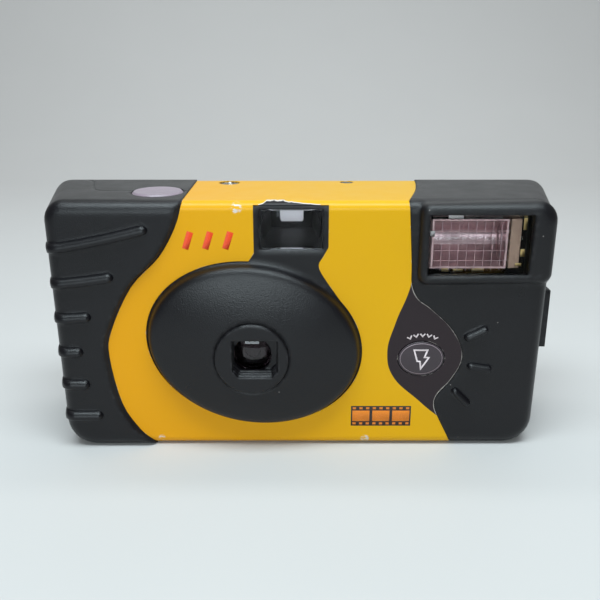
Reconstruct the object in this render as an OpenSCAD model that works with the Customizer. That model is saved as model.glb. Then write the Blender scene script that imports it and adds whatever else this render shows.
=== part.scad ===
// Single-use flash film camera as an assembly of separate pieces, in mm.
// The front faces -Y, +Z is up and +X is to the right in the front view.
// The origin is the centre of the base.

/* [Body] */
// Width of the body at its back, where it is widest
body_w = 128; // [122:0.5:134]
// How much narrower each side is at the front
side_flare = 5.5; // [4.5:0.1:6]
// Height of the body
body_h = 62; // [59:0.5:65]
// Depth from the label's face to the back face
body_d = 32; // [31.5:0.5:35]
// Wall thickness of both covers
wall = 1.6; // [1.4:0.1:1.8]
// How far the bare plastic stands above the label's bed on top, base and back
rim = 0.5; // [0.4:0.1:0.7]
// How far the grip stands in front of the label's bed
grip_proud = 1.4; // [0.8:0.1:2]
// How far the flash housing stands in front of the label's bed
flash_proud = 2.8; // [2.4:0.1:3.4]
// Gap along the seam between the covers
seam_gap = 0.15; // [0.1:0.05:0.3]

/* [Lens dome] */
// Distance of the lens axis left of the middle
lens_off = 11.3; // [10.5:0.1:12]
// Distance of the lens axis below mid height
lens_drop = 5.3; // [5:0.1:5.6]
// Length of the oval dome
dome_w = 51.6; // [48:0.2:53]
// Height of the oval dome across its length
dome_h = 40.4; // [37:0.2:41]
// How far the lens hood stands in front of the label's bed
dome_proud = 6.5; // [6:0.1:8]
// Tilt of the oval dome
dome_tilt = 12; // [0:1:15]
// Diameter of the lens hood
hood_d = 17.3; // [16.4:0.1:18]
// Diameter of the taking lens
lens_d = 9; // [8:0.1:9.6]
// Diameter of the lens stop
stop_d = 3; // [2.4:0.1:3.6]

/* [Controls] */
// Diameter of the shutter button
button_d = 12.2; // [11:0.1:13]
// Travel of the shutter button
button_travel = 1; // [0.6:0.1:1]
// Length of the oval flash button
flash_button_w = 11; // [10:0.1:11.6]
// Height of the oval flash button
flash_button_h = 8.7; // [8:0.1:9.2]
// Travel of the flash button
flash_button_travel = 0.5; // [0.3:0.1:0.6]
// How far the thumb wheel stands out of the back
wheel_proud = 1; // [0.6:0.1:1.2]
// Thickness of the thumb wheel
wheel_t = 4.4; // [3.8:0.1:4.4]
// Number of notches round the thumb wheel
wheel_notches = 44; // [30:1:50]

/* [Label and windows] */
// Thickness of the label
label_t = 0.2; // [0.15:0.05:0.3]
// Gap between the label and the plastic round it
label_gap = 0.2; // [0.15:0.05:0.35]
// Width of the viewfinder opening
finder_w = 14; // [13:0.1:14.4]
// Height of the viewfinder opening
finder_h = 9; // [8:0.1:9.2]
// Height of the flash window
flash_h = 13.8; // [12.6:0.1:14]

/* [Hidden] */
$fn = 48;
// Steps round large shallow spheres
fine = 180;
// The body's size as a share of the size that the outlines and insides are drawn at
across = body_w / 128;
up = body_h / 62;
// Faces of the body
half_w = body_w / 2;
front_half = half_w - side_flare;
y_front = -(dome_proud + body_d + wheel_proud) / 2;
y_label = y_front + dome_proud;
y_back = y_label + body_d;
y_grip = y_label - grip_proud;
y_flash = y_label - flash_proud;
panel_proud = 0.3;
y_panel = y_label - panel_proud;
label_back = y_back - rim;
// Faces of the space inside
in_front = y_label + wall;
in_back = label_back - wall;
in_bottom = rim + wall;
in_top = body_h - rim - wall;
in_side = front_half - wall;
// Roundings of the body
corner_top = 4.8;
corner_bottom = 7;
corner_back = 4.6;
base_taper = 0.6;
edge_front = 3;
edge_back = 4.4;
fold_front = 2;
fold_back = edge_back - rim;
// Right edge of the label where the top meets the back
top_right = 30;
// Running clearance of small pieces, and a hair of overlap for cuts
play = 0.2;
cut = 0.5;
// Seam between the covers
rear_lip = 3.6;
seam_y = y_label + 11.8;
wing_h = 8;
// Lens stack, from front to back
lens_x = -lens_off;
lens_z = body_h / 2 - lens_drop;
dome_x = lens_x + 0.4;
dome_z = lens_z + 1.35;
hood_back = y_label - 0.7;
// Opening of the hood, which narrows inwards in steps
opening_x = lens_x + 0.8;
opening_half = 5.4;
opening_low = -4.5;
opening_high = 4.7;
opening_bite = 1.5;
opening_steps = 4;
step_d = 0.7;
step_in = 0.12;
step_up = 0.3;
lens_back = hood_back + 0.3;
stop_t = 0.5;
blade_t = 0.2;
plate_y = in_front + 1.05;
plate_t = 1.5;
blade_y = plate_y - 0.3 - blade_t;
// Grip ribs and rays
rib_count = 6;
rib_t = 1.6;
rib_proud = 1.1;
rib_end = 7;
rib_rise = 4.9;
rib_first = 8.8 * up;
rib_step = 8.3 * up;
ray_count = 3;
ray_in = 11.6;
ray_len = 5.4;
ray_t = 1.1;
ray_first = 27;
ray_turn = -36;
// Flash housing and window
flash_left = 27.2 * across;
flash_bottom = body_h - 19.6;
flash_edge = 2;
flash_border = 2.45;
flash_far_border = 6.15;
flash_w = front_half - flash_left - flash_border - flash_far_border;
flash_x = flash_left + flash_border + flash_w / 2;
flash_z = in_top - 8;
flash_wall = 1.4;
flash_bevel = 1.06;
pane_t = 1.2;
pane_lap = 0.6;
pane_y = y_flash + flash_wall + 0.05;
// Viewfinder
finder_x = lens_x + 9.25;
finder_z = in_top - 0.3 - finder_h / 2;
finder_frame = 1.6;
neck_drop = 16;
tunnel_w = finder_w + 2.4;
tunnel_wall = 1;
eye_w = 9;
eye_h = 6.6;
// Film path, on the floor of the main frame
floor_z = in_bottom + 0.2;
floor_t = 1.1;
film_t = 0.15;
film_space = 1.2;
y_film = in_back - film_space;
cart_r = 12.4 * across;
cart_relief = 0.75;
cart_room = 0.8;
cart_h = 2 * (lens_z - floor_z - floor_t - cart_room);
cart_bottom = lens_z - cart_h / 2;
cart_y = in_back - cart_r + cart_relief;
wheel_r = y_back + wheel_proud - cart_y;
cart_x = -(in_side - wheel_r - 0.4);
chamber_t = 1.2;
chamber_r = cart_r + 0.4;
film_w = cart_h - 8;
gate_w = 2 * (lens_x - cart_x - cart_r - 0.05);
gate_h = film_w - 11;
gate_land = 1.3;
roll_room = 10.4 * across;
roll_r = roll_room - 1.1;
roll_x = lens_x + gate_w / 2 + roll_room + 2.1;
roll_y = y_film - roll_room + 0.8;
roll_end = roll_x + roll_room + 0.6;
core_r = 3.9;
core_over = 2;
roll_pin_r = 2.1;
gate_t = 1.6;
gate_y = y_film - 0.1 - gate_t;
// Levels of the main frame
deck_z = in_top - 9.5;
deck_t = 1.8;
deck_top = deck_z + deck_t;
shelf_z = deck_z - 2.2;
shelf_t = 1.2;
frame_left = -in_side + 4.9;
tunnel_left = finder_x - tunnel_w / 2 - tunnel_wall;
tunnel_right = finder_x + tunnel_w / 2 + tunnel_wall;
// Thumb wheel and counter
wheel_z = deck_top + 0.6;
hub_r = 7.2;
knob_r = 5.4;
knob_top = deck_top + 0.4;
shaft_r = 1.4;
sprocket_x = lens_x - 2.6;
sprocket_r = 5.9;
sprocket_tip = 7.2;
sprocket_teeth = 8;
sprocket_y = y_film - sprocket_tip - 0.15;
sprocket_z = lens_z + film_w / 2 - 2.5;
dial_r = 5.4;
finger_r = 1.2;
dial_far = dial_r + finger_r + 0.1;
dial_turn = 158;
dial_x = sprocket_x + dial_far * cos(dial_turn);
dial_y = sprocket_y + dial_far * sin(dial_turn);
dial_z = wheel_z + wheel_t + 0.4;
dial_t = 1.2;
dial_teeth = 30;
window_x = dial_x + 2;
window_y = dial_y + 1;
window_r = 2.4;
// Shutter button and release
button_x = -33.9 * across;
button_y = y_label + 10.35;
button_top = body_h + 0.3;
arm_t = 0.8;
arm_z = in_top - 1;
press_x = cart_x + wheel_r + 1.8;
lever_x = press_x + 4.2;
lever_half = 1;
lever_gap = 0.3;
lever_z = arm_z - lever_gap - lever_half;
pin_r = 0.75;
ear_t = 1;
ear_y = button_y - lever_half - 0.3 - ear_t;
// Striker and blade
striker_y = plate_y + 7.6;
striker_t = 1.5;
blade_pivot_x = lens_x - 2.2;
blade_pivot_z = deck_top - 9.7;
tab_x = lens_x - 3.8;
striker_x = tab_x;
tab_w = 2;
tab_top = deck_top + 2;
// Flash button and electronics
flash_button_x = 29.2 * across;
flash_button_z = 23.5 * up;
cap_proud = 0.8;
board_y = in_front + 2.45;
board_t = 1.2;
board_back = board_y + board_t;
board_left = 15 * across;
board_right = in_side - 1.9;
board_bottom = 5;
board_top = flash_bottom - 1.4;
capacitor_r = 6.25 * across;
capacitor_h = board_top - board_bottom - 8;
capacitor_x = front_half - 22 * across;
capacitor_y = board_back + capacitor_r + 0.2;
battery_r = 7.15 * across;
battery_x = front_half - 12 * across;
battery_y = in_back - battery_r - 0.4;
battery_z = in_bottom + 1.8;
nub_h = 1;
battery_h = in_top - battery_z - nub_h - 5.5;
contact_half = 5;
transformer_w = 8.4;
transformer_d = 6.6;
// Reflector and tube
reflector_x = flash_x - flash_w / 2 + 0.55;
reflector_w = flash_w - 5.3;
reflector_h = 11.6;
reflector_d = 9;
reflector_t = 0.4;
reflector_y = pane_y + pane_t + 0.2;
tube_r = 1.4;
tube_y = reflector_y + 5.6;
// Ready lamp
lamp_x = tunnel_right + 4.85;
lamp_y = y_back - 6.2;
lamp_r = 1.6;
pipe_r = 1.5;
// Raised rail on the right side
rail_front = y_label + 5;
rail_back = y_label + 16;
rail_low = 24.5 * up;
rail_high = 39 * up;
rail_proud = 2;

// Curve helpers

function near(points, i) = points[max(0, min(len(points) - 1, i))];

function blend(a, b, c, d, t) =
    b + t / 2 * ((c - a) + t * ((2 * a - 5 * b + 4 * c - d) + t * (3 * (b - c) + d - a)));

// A smooth line through a few points
function smooth_line(points, steps = 4) = concat(
    [for (i = [0 : len(points) - 2], k = [0 : steps - 1])
        blend(near(points, i - 1), points[i], points[i + 1], near(points, i + 2), k / steps)],
    [points[len(points) - 1]]);

function backwards(points) = [for (i = [len(points) - 1 : -1 : 0]) points[i]];

function shifted(points, dx) = [for (p = points) p + [dx, 0]];

// Points of a front outline at the body's own size
function fitted(points) = [for (p = points) [p[0] * across, p[1] * up]];

// Left edge of the label from top to base, seen from the front
function left_edge() = smooth_line(fitted([[-26.8, 65], [-27, 61.5], [-28.7, 55.8], [-32.8, 48.7],
    [-39.7, 41.5], [-45.1, 30.7], [-46.1, 23.9], [-43.9, 11.6], [-39.8, 4.3], [-36.5, 1], [-35.2, -3]]));

// Right edge of the label from top to base, with the lobe round the flash button
function right_edge() = smooth_line(fitted([[24.8, 65], [25, 61.5], [26, 47.7], [26.3, 42.2], [28, 38.5],
    [31, 36.2], [36.8, 30.4], [39.3, 23.9], [37, 18.1], [33.7, 13.8], [33.2, 11], [34.3, 7.8], [37.6, 1],
    [39, -3]]));

// Where the label's left edge is at a height
function left_edge_at(z) = lookup(z, [for (p = left_edge()) [p[1], p[0]]]);

// The label's edges on the back, straight from top to base
function back_left_edge() = fitted([[-26.8, 65], [-27, 61.5], [-36.5, 1], [-37, -3]]);
function back_right_edge() = fitted([[top_right, 65], [top_right, 61.5], [37.6, 1], [38.2, -3]]);

// The label's right edge on the top, from the front fold to the back
function top_edge() = smooth_line([[24.9 * across, y_label + 1], [26.5 * across, y_label + 7],
    [28.4 * across, y_label + 15], [29.6 * across, y_label + 23], [top_right * across, y_back - rear_lip],
    [top_right * across, y_back + cut]]);

// Shape helpers

module box(x0, x1, y0, y1, z0, z1) {
    translate([x0, y0, z0]) cube([x1 - x0, y1 - y0, z1 - z0]);
}

module post(x, y, r, z0, z1) {
    translate([x, y, z0]) cylinder(h = z1 - z0, r = r);
}

module rod_x(y, z, r, x0, x1) {
    translate([x0, y, z]) rotate([0, 90, 0]) cylinder(h = x1 - x0, r = r);
}

module rod_y(x, z, r, y0, y1) {
    translate([x, y1, z]) rotate([90, 0, 0]) cylinder(h = y1 - y0, r = r);
}

// A flat shape drawn in the front view, from one depth to another
module plate_y(y0, y1) {
    translate([0, y1, 0]) rotate([90, 0, 0]) linear_extrude(height = y1 - y0) children();
}

// A flat shape drawn in the side view (depth, height), from one x to another
module plate_x(x0, x1) {
    translate([x0, 0, 0]) rotate([90, 0, 90]) linear_extrude(height = x1 - x0) children();
}

module stadium(w, h) {
    square([w - h, h], center = true);
    for (s = [-1, 1]) translate([s * (w - h) / 2, 0]) circle(h / 2);
}

module oval(w, h) {
    scale([1, h / w]) circle(d = w);
}

module rounded(w, h, r) {
    square([w - 2 * r, h], center = true);
    square([w, h - 2 * r], center = true);
    for (sx = [-1, 1], sz = [-1, 1]) translate([sx * (w / 2 - r), sz * (h / 2 - r)]) circle(r);
}

// A wire wound round the Z axis from radius r0 at the base to r1 at the top
module coil(r0, r1, wire_r, turns, rise) {
    per_turn = 20;
    sides = 6;
    n = turns * per_turn;
    points = [for (i = [0 : n], k = [0 : sides - 1])
        let (a = 360 * i / per_turn, b = 360 * k / sides, r = r0 + (r1 - r0) * i / n + wire_r * cos(b))
        [r * cos(a), r * sin(a), rise * i / n + wire_r * sin(b)]];
    skin = [for (i = [0 : n - 1], k = [0 : sides - 1])
        let (next = (k + 1) % sides)
        [i * sides + k, i * sides + next, (i + 1) * sides + next, (i + 1) * sides + k]];
    ends = [[for (k = [sides - 1 : -1 : 0]) k], [for (k = [0 : sides - 1]) n * sides + k]];
    polyhedron(points, concat(skin, ends));
}

// Body form

module edge_ring(x, y, z, r, fillet) {
    translate([x, y, z])
        rotate([90, 0, 0])
            rotate_extrude($fn = 32) intersection() {
                translate([r - fillet, 0]) circle(fillet, $fn = 32);
                translate([0, -fillet]) square([r, 2 * fillet]);
            }
}

// The whole rounded body with its front face at a given depth
module body_form(front, inset = 0) {
    hull() {
        for (s = [-1, 1]) {
            edge_ring(s * (front_half - inset - corner_top), front + edge_front,
                body_h - inset - corner_top, corner_top, edge_front);
            edge_ring(s * (front_half - inset - base_taper - corner_bottom), front + edge_front,
                corner_bottom + inset, corner_bottom, edge_front);
            edge_ring(s * (half_w - inset - corner_back), y_back - inset - edge_back,
                body_h - inset - corner_back, corner_back, edge_back);
            edge_ring(s * (half_w - inset - base_taper - corner_bottom), y_back - inset - edge_back,
                corner_bottom + inset, corner_bottom, edge_back);
        }
    }
}

// The label's bed, a loop of constant section along X, grown by the label's thickness for its outside
module label_section(grow) {
    y0 = y_label - grow;
    y1 = label_back + grow;
    z0 = rim - grow;
    z1 = body_h - rim + grow;
    r0 = fold_front + grow;
    r1 = fold_back + grow;
    translate([y0 + r0, z0]) square([y1 - r1 - y0 - r0, z1 - z0]);
    translate([y0, z0 + r0]) square([r0, z1 - z0 - 2 * r0]);
    translate([y1 - r1, z0 + r1]) square([r1, z1 - z0 - 2 * r1]);
    for (z = [z0 + r0, z1 - r0]) translate([y0 + r0, z]) circle(r0);
    for (z = [z0 + r1, z1 - r1]) translate([y1 - r1, z]) circle(r1);
}

module label_form(grow = 0) {
    plate_x(-half_w, half_w) label_section(grow);
}

// The strip on the top by which the label grows wider towards the back
module top_strip(inset = 0) {
    translate([0, 0, body_h - fold_front])
        linear_extrude(height = fold_front + wall)
            polygon(concat([[20 * across, y_label + 1]], shifted(top_edge(), -inset), [[20 * across, y_back + cut]]));
}

module between(left, right) {
    polygon(concat(left, backwards(right)));
}

module left_of(edge) {
    polygon(concat([[-body_w, near(edge, 0)[1]]], edge, [[-body_w, near(edge, len(edge))[1]]]));
}

module right_of(edge) {
    polygon(concat([[body_w, near(edge, 0)[1]]], edge, [[body_w, near(edge, len(edge))[1]]]));
}

// The grip's share of the front, with a sloping shoulder beside the label
module grip_share() {
    slope = 1.4;
    far = body_w - 40 * across;
    plate_y(y_label, y_back + cut) left_of(left_edge());
    translate([-body_w, y_label, body_h / 2])
        rotate([90, 0, 0])
            linear_extrude(height = grip_proud + cut, scale = 1 - slope / far)
                translate([body_w, -body_h / 2]) left_of(left_edge());
}

// The space inside both covers
module inside_space() {
    steps = 4;
    for (i = [0 : steps - 1])
        plate_y(in_front + body_d * i / steps, in_back)
            translate([0, (in_bottom + in_top) / 2])
                rounded(2 * (in_side + side_flare * i / steps), in_top - in_bottom, corner_bottom - wall);
}

// What belongs to the back cover: the rear edge all round, and a wing on top beside the button
module back_share(gap = 0) {
    rear_y = y_back - rear_lip - gap;
    left_end = cart_x - 13;
    right_end = dial_x + 9;
    wing = smooth_line([[left_end - 2, rear_y + 0.3], [left_end, rear_y - 0.8], [left_end + 2.2, rear_y - 4.2],
        [left_end + 5, seam_y + 2.2 - gap], [left_end + 8, seam_y + 0.3 - gap], [left_end + 12, seam_y - gap],
        [right_end - 9, seam_y - gap], [right_end - 5.5, seam_y + 0.4 - gap], [right_end - 3, seam_y + 4 - gap],
        [right_end, rear_y - 0.6], [right_end + 2, rear_y + 0.3]]);
    box(-body_w, body_w, rear_y, y_back + 2 * wall, -wall, body_h + wall);
    translate([0, 0, body_h - wing_h])
        linear_extrude(height = wing_h + wall)
            polygon(concat(wing, [[right_end + 2, y_back], [left_end - 2, y_back]]));
}

// The dome's solid: a round profile drawn out into an oval, tilted and laid on the label's bed
module dome_solid(inset = 0) {
    r = dome_w / 2 - inset;
    draft = 0.7;
    rim_round = 1.6;
    crown_r = 88;
    top = dome_proud - 0.1 - inset;
    edge_r = r - draft - rim_round;
    edge_h = top - edge_r * edge_r / (2 * crown_r) - 0.15;
    crown = [for (i = [0 : 10]) let (q = edge_r * (1 - i / 10)) [q, top - q * q / (2 * crown_r)]];
    fillet = [for (a = [0 : 15 : 75]) [edge_r + rim_round * cos(a), edge_h - rim_round + rim_round * sin(a)]];
    translate([dome_x, y_label, dome_z])
        rotate([90, 0, 0])
            rotate([0, 0, -dome_tilt])
                scale([1, (dome_h / 2 - inset) / r, 1])
                    rotate_extrude()
                        polygon(concat([[0, -wall - cut], [r, -wall - cut], [r, 0]], fillet, crown));
}

// Six ribs that end at one distance from the label's edge, the upper ones rising to the right
module grip_ribs() {
    steps = 6;
    intersection() {
        body_form(y_grip - rib_proud, 0.05);
        for (i = [0 : rib_count - 1]) {
            low = rib_first + rib_step * i;
            rise = rib_rise * pow(i / (rib_count - 1), 4);
            start = -half_w - cut;
            end = left_edge_at(low + rise) - rib_end;
            line = [for (k = [0 : steps]) let (u = k / steps)
                [start + (end - start) * u, low + rise * pow(u, 1.5)]];
            plate_y(y_grip - 2 * rib_proud, y_label + edge_front)
                polygon(concat([for (p = line) p - [0, rib_t / 2]],
                    backwards([for (p = line) p + [0, rib_t / 2]])));
            rod_y(end, low + rise, rib_t / 2, y_grip - 2 * rib_proud, y_label + edge_front);
        }
    }
}

// Rail that stands out of the tapering right side as far as the flash housing
module side_rail() {
    box(front_half - wall / 2, front_half + rail_proud, rail_front, rail_back, rail_low, rail_high);
}

module rays() {
    plate_y(y_panel - rib_proud, y_panel + cut)
        translate([flash_button_x, flash_button_z])
            for (i = [0 : ray_count - 1])
                rotate(ray_first + ray_turn * i)
                    translate([ray_in + ray_len / 2, 0]) stadium(ray_len, ray_t);
}

// The raised flash housing, rounded on its left and lower edges
module flash_form() {
    small = flash_edge + 0.5;
    hull() {
        edge_ring(flash_left + small, y_flash + flash_edge, flash_bottom + small, small, flash_edge);
        edge_ring(flash_left + small, y_flash + flash_edge, body_h - rim - small, small, flash_edge);
        edge_ring(front_half - corner_top, y_flash + edge_front, body_h - corner_top, corner_top, edge_front);
        edge_ring(front_half - small, y_flash + edge_front, flash_bottom + small, small, flash_edge);
        box(flash_left, front_half - corner_top, y_label + edge_front, y_label + edge_front + cut, flash_bottom - 1,
            body_h - rim);
        box(front_half - corner_top, front_half, y_label + edge_front, y_label + edge_front + cut, flash_bottom - 1,
            body_h - corner_top);
    }
}

// An opening whose sides slope in from the front face
module bevel_opening(x, z, w, h, y0, y1, spread) {
    translate([x, y1, z])
        rotate([90, 0, 0])
            linear_extrude(height = y1 - y0, scale = spread) square([w, h], center = true);
}

// Covers

module front_cover() {
    color("#1d1b1e") difference() {
        union() {
            intersection() {
                body_form(y_grip);
                grip_share();
            }
            difference() {
                intersection() {
                    body_form(y_panel);
                    plate_y(y_grip, y_back + cut) right_of(right_edge());
                }
                top_strip();
            }
            intersection() {
                label_form();
                union() {
                    plate_y(y_grip, y_back + cut) between(left_edge(), right_edge());
                    top_strip();
                }
            }
            dome_solid();
            grip_ribs();
            rays();
            flash_form();
            side_rail();
        }
        back_share(seam_gap);
        inside_space();
        dome_solid(wall);
        box(flash_left + wall, front_half - wall - 0.8, y_flash + flash_wall, in_front + cut,
            flash_z - flash_h / 2 - pane_lap, in_top);
        bevel_opening(flash_x, flash_z, flash_w, flash_h, y_flash - 0.1, y_flash + flash_wall + 0.1, flash_bevel);
        bevel_opening(finder_x, finder_z, finder_w, finder_h, y_label - 0.1, in_front + 0.1, 1.07);
        rod_y(lens_x, lens_z, hood_d / 2 + 0.08, y_front - wall, in_front);
        plate_y(y_panel - wall, in_front + cut)
            translate([flash_button_x, flash_button_z])
                oval(flash_button_w + 2 * play, flash_button_h + 2 * play);
        post(button_x, button_y, button_d / 2 + play, body_h - 2 * wall, body_h + wall);
        post(lamp_x, lamp_y, pipe_r + play, in_top - cut, body_h + wall);
        wheel_room();
    }
}

// Room for the thumb wheel to turn in
module wheel_room() {
    post(cart_x, cart_y, wheel_r + 0.4, wheel_z - 0.3, wheel_z + wheel_t + 0.3);
}

module back_cover() {
    color("#1d1b1e") difference() {
        union() {
            intersection() {
                union() {
                    intersection() {
                        body_form(y_panel);
                        union() {
                            plate_y(y_panel, y_back + cut) left_of(back_left_edge());
                            plate_y(y_panel, y_back + cut) right_of(back_right_edge());
                        }
                    }
                    intersection() {
                        label_form();
                        plate_y(y_panel, y_back + cut) between(back_left_edge(), back_right_edge());
                    }
                }
                difference() {
                    back_share();
                    inside_space();
                }
            }
            for (i = [-1 : 1])
                box(lens_x - gate_w / 2, lens_x + gate_w / 2, y_film + film_t + 0.1, in_back + cut,
                    lens_z + i * 11 - 1, lens_z + i * 11 + 1);
        }
        post(cart_x, cart_y, chamber_r, cart_bottom - 0.3, cart_bottom + cart_h + 0.3);
        wheel_room();
        // Thumb scoop over the wheel
        translate([cart_x, y_back + 9, wheel_z + wheel_t / 2]) sphere(r = 11.2);
        plate_y(in_back - cut, y_back + wall)
            translate([finder_x, finder_z]) rounded(eye_w + 2 * play, eye_h + 2 * play, 1);
        post(button_x, button_y, button_d / 2 + play, body_h - 2 * wall, body_h + wall);
        post(window_x, window_y, window_r + play, in_top - cut, body_h + wall);
    }
}

// The bare place round the viewfinder and down to the dome
module finder_cutout() {
    left = finder_x - finder_w / 2 - finder_frame;
    right = finder_x + finder_w / 2 + finder_frame;
    low = finder_z - finder_h / 2 - 1;
    neck = smooth_line([[right, low + 1.4], [right - 1.2, low - 0.8], [right - 2.2, low - 2.8],
        [right - 1.2, low - 5.4], [right + 3, low - 11.6], [right + 6, low - neck_drop]]);
    polygon(concat([[left - 2, low - 3], [left, low], [left, in_top + 0.9], [right, in_top + 0.9]], neck,
        [[lens_x, low - neck_drop]]));
}

module wrap_label() {
    middle = y_back - rear_lip;
    color("#d9ac10") difference() {
        union() {
            intersection() {
                label_form(label_t);
                union() {
                    plate_y(y_label - 1, middle)
                        between(shifted(left_edge(), label_gap), shifted(right_edge(), -label_gap));
                    top_strip(label_gap);
                }
            }
            intersection() {
                label_form(label_t);
                plate_y(middle, y_back + cut)
                    between(shifted(back_left_edge(), label_gap), shifted(back_right_edge(), -label_gap));
            }
        }
        label_form();
        translate([0, -cut, 0]) dome_solid(-0.25);
        plate_y(y_label - 1, y_label + fold_front) finder_cutout();
        plate_y(y_label - 1, y_label + 1)
            translate([flash_button_x, flash_button_z])
                oval(flash_button_w + 2 * play, flash_button_h + 2 * play);
        post(window_x, window_y, window_r + play, in_top, body_h + wall);
        post(lamp_x, lamp_y, pipe_r + play, in_top, body_h + wall);
        plate_y(in_back, y_back + wall)
            translate([finder_x, finder_z]) rounded(eye_w + 2 * play, eye_h + 2 * play, 1);
    }
}

// Lens stack

// One step of the hood's opening, narrower at its lower corners
module hood_step(i, y0, y1) {
    half = opening_half - step_in * i;
    low = opening_low + step_up * i;
    plate_y(y0, y1)
        translate([opening_x, lens_z])
            polygon([[-half + opening_bite, low], [half - opening_bite, low], [half, low + opening_bite],
                [half, opening_high], [-half, opening_high], [-half, low + opening_bite]]);
}

module lens_hood() {
    round = 0.3;
    seat_d = 2.7;
    depth = hood_back - y_front;
    color("#151416") difference() {
        translate([lens_x, hood_back, lens_z])
            rotate([90, 0, 0])
                rotate_extrude()
                    polygon([[0, 0], [hood_d / 2, 0], [hood_d / 2, depth - round], [hood_d / 2 - round, depth],
                        [0, depth]]);
        for (i = [0 : opening_steps - 1])
            hood_step(i, y_front + i * step_d - cut, y_front + (i + 1) * step_d);
        hood_step(opening_steps - 1, y_front, hood_back - seat_d + 0.1);
        rod_y(lens_x, lens_z, lens_d / 2 + 0.05, hood_back - seat_d, hood_back + cut);
    }
}

module taking_lens() {
    front_r = 9;
    hollow_r = 12;
    color("#9fb4c8") difference() {
        intersection() {
            rod_y(lens_x, lens_z, lens_d / 2, hood_back - 2.3, lens_back);
            translate([lens_x, hood_back - 2.3 + front_r, lens_z]) sphere(r = front_r);
        }
        translate([lens_x, lens_back + hollow_r - 0.7, lens_z]) sphere(r = hollow_r, $fn = fine);
    }
}

module lens_stop() {
    color("#222024") difference() {
        rod_y(lens_x, lens_z, hood_d / 2 - 1.2, lens_back + 0.02, lens_back + 0.02 + stop_t);
        rod_y(lens_x, lens_z, stop_d / 2, lens_back - cut, lens_back + stop_t + cut);
    }
}

module shutter_blade() {
    color("#6c6c70") difference() {
        union() {
            rod_y(lens_x, lens_z, 3.6, blade_y, blade_y + blade_t);
            rod_y(blade_pivot_x, blade_pivot_z, 2, blade_y, blade_y + blade_t);
            plate_y(blade_y, blade_y + blade_t)
                polygon([[blade_pivot_x - 1.6, blade_pivot_z], [lens_x - 2.6, lens_z + 2.2],
                    [lens_x + 2.6, lens_z + 2.2], [blade_pivot_x + 1.8, blade_pivot_z],
                    [tab_x + tab_w / 2, tab_top], [tab_x - tab_w / 2, tab_top]]);
        }
        rod_y(blade_pivot_x, blade_pivot_z, pin_r + 0.06, blade_y - cut, blade_y + cut);
    }
}

module striker_lever() {
    tip_x = tab_x - tab_w / 2 - 0.35;
    z0 = deck_top + 0.25;
    color("#e7e3d8") difference() {
        union() {
            post(striker_x, striker_y, 2.6, z0, z0 + striker_t);
            translate([0, 0, z0]) linear_extrude(height = striker_t)
                polygon([[striker_x - 2, striker_y], [striker_x + 1.6, striker_y], [tip_x, blade_y + 2.4],
                    [tip_x, blade_y], [tip_x - 1.1, blade_y]]);
            translate([0, 0, z0]) linear_extrude(height = striker_t)
                polygon([[striker_x - 2, striker_y], [striker_x + 1, striker_y - 2], [striker_x - 4.6, striker_y + 3.2],
                    [striker_x - 5.4, striker_y + 1.6]]);
        }
        post(striker_x, striker_y, 1.2 + 0.06, deck_top, deck_top + wheel_t);
    }
}

module striker_spring() {
    color("#b9bcc0") translate([striker_x, striker_y, deck_top + 0.25 + striker_t + 0.4])
        coil(1.9, 1.9, 0.2, 3, 1.4);
}

module release_lever() {
    color("#e7e3d8") difference() {
        box(press_x - 1, lever_x + 4.6, button_y - 1, button_y + 1, lever_z - lever_half, lever_z + lever_half);
        rod_y(lever_x, lever_z, pin_r + 0.06, button_y - 2, button_y + 2);
    }
}

module button_spring() {
    wire = 0.17;
    room = lever_z - lever_half - deck_top;
    color("#b9bcc0") translate([press_x, button_y, deck_top + wire + 0.02])
        coil(0.9, 0.9, wire, 6, room - 2 * wire - 0.06);
}

// Controls

module shutter_button() {
    dish_r = 60;
    color("#b9b7c0") union() {
        difference() {
            union() {
                post(button_x, button_y, button_d / 2, arm_z, button_top - 0.5);
                translate([button_x, button_y, button_top - 0.5])
                    cylinder(h = 0.5, r1 = button_d / 2, r2 = button_d / 2 - 0.5);
            }
            translate([button_x, button_y, button_top + dish_r - 0.25]) sphere(r = dish_r, $fn = fine);
        }
        // Arm that reaches past the thumb wheel to the release lever
        box(button_x, press_x + 0.5, button_y - 1.2, button_y + 1.2, arm_z, arm_z + arm_t);
    }
}

module flash_button() {
    dome_r = 24;
    back = in_front + 0.1;
    color("#2b2622") union() {
        intersection() {
            plate_y(y_label - cap_proud, back + cut)
                translate([flash_button_x, flash_button_z]) oval(flash_button_w, flash_button_h);
            translate([flash_button_x, y_label - cap_proud + dome_r, flash_button_z]) sphere(r = dome_r, $fn = fine);
        }
        plate_y(back, back + 0.7)
            translate([flash_button_x, flash_button_z]) oval(flash_button_w + 2.4, flash_button_h + 2.4);
        rod_y(flash_button_x, flash_button_z, 1.2, back + 0.5, board_y - 0.8 - flash_button_travel - 0.1);
    }
}

module thumb_wheel() {
    color("#232125") union() {
        difference() {
            post(cart_x, cart_y, wheel_r, wheel_z, wheel_z + wheel_t);
            for (i = [0 : wheel_notches - 1])
                rotate_about(cart_x, cart_y, 360 * (i + 0.5) / wheel_notches)
                    post(cart_x + wheel_r + 0.15, cart_y, 0.6, wheel_z - cut, wheel_z + wheel_t + cut);
            post(cart_x, cart_y, hub_r + play, wheel_z - cut, wheel_z + 1.7);
            difference() {
                post(cart_x, cart_y, wheel_r - 2, wheel_z + wheel_t - 1, wheel_z + wheel_t + cut);
                post(cart_x, cart_y, 3, wheel_z, wheel_z + wheel_t + 2 * cut);
            }
        }
        box(cart_x - 3.2, cart_x + 3.2, cart_y - 0.8, cart_y + 0.8, knob_top - 2.4, wheel_z + 2);
    }
}

module rotate_about(x, y, turn) {
    translate([x, y, 0]) rotate([0, 0, turn]) translate([-x, -y, 0]) children();
}

// Main frame

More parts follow.
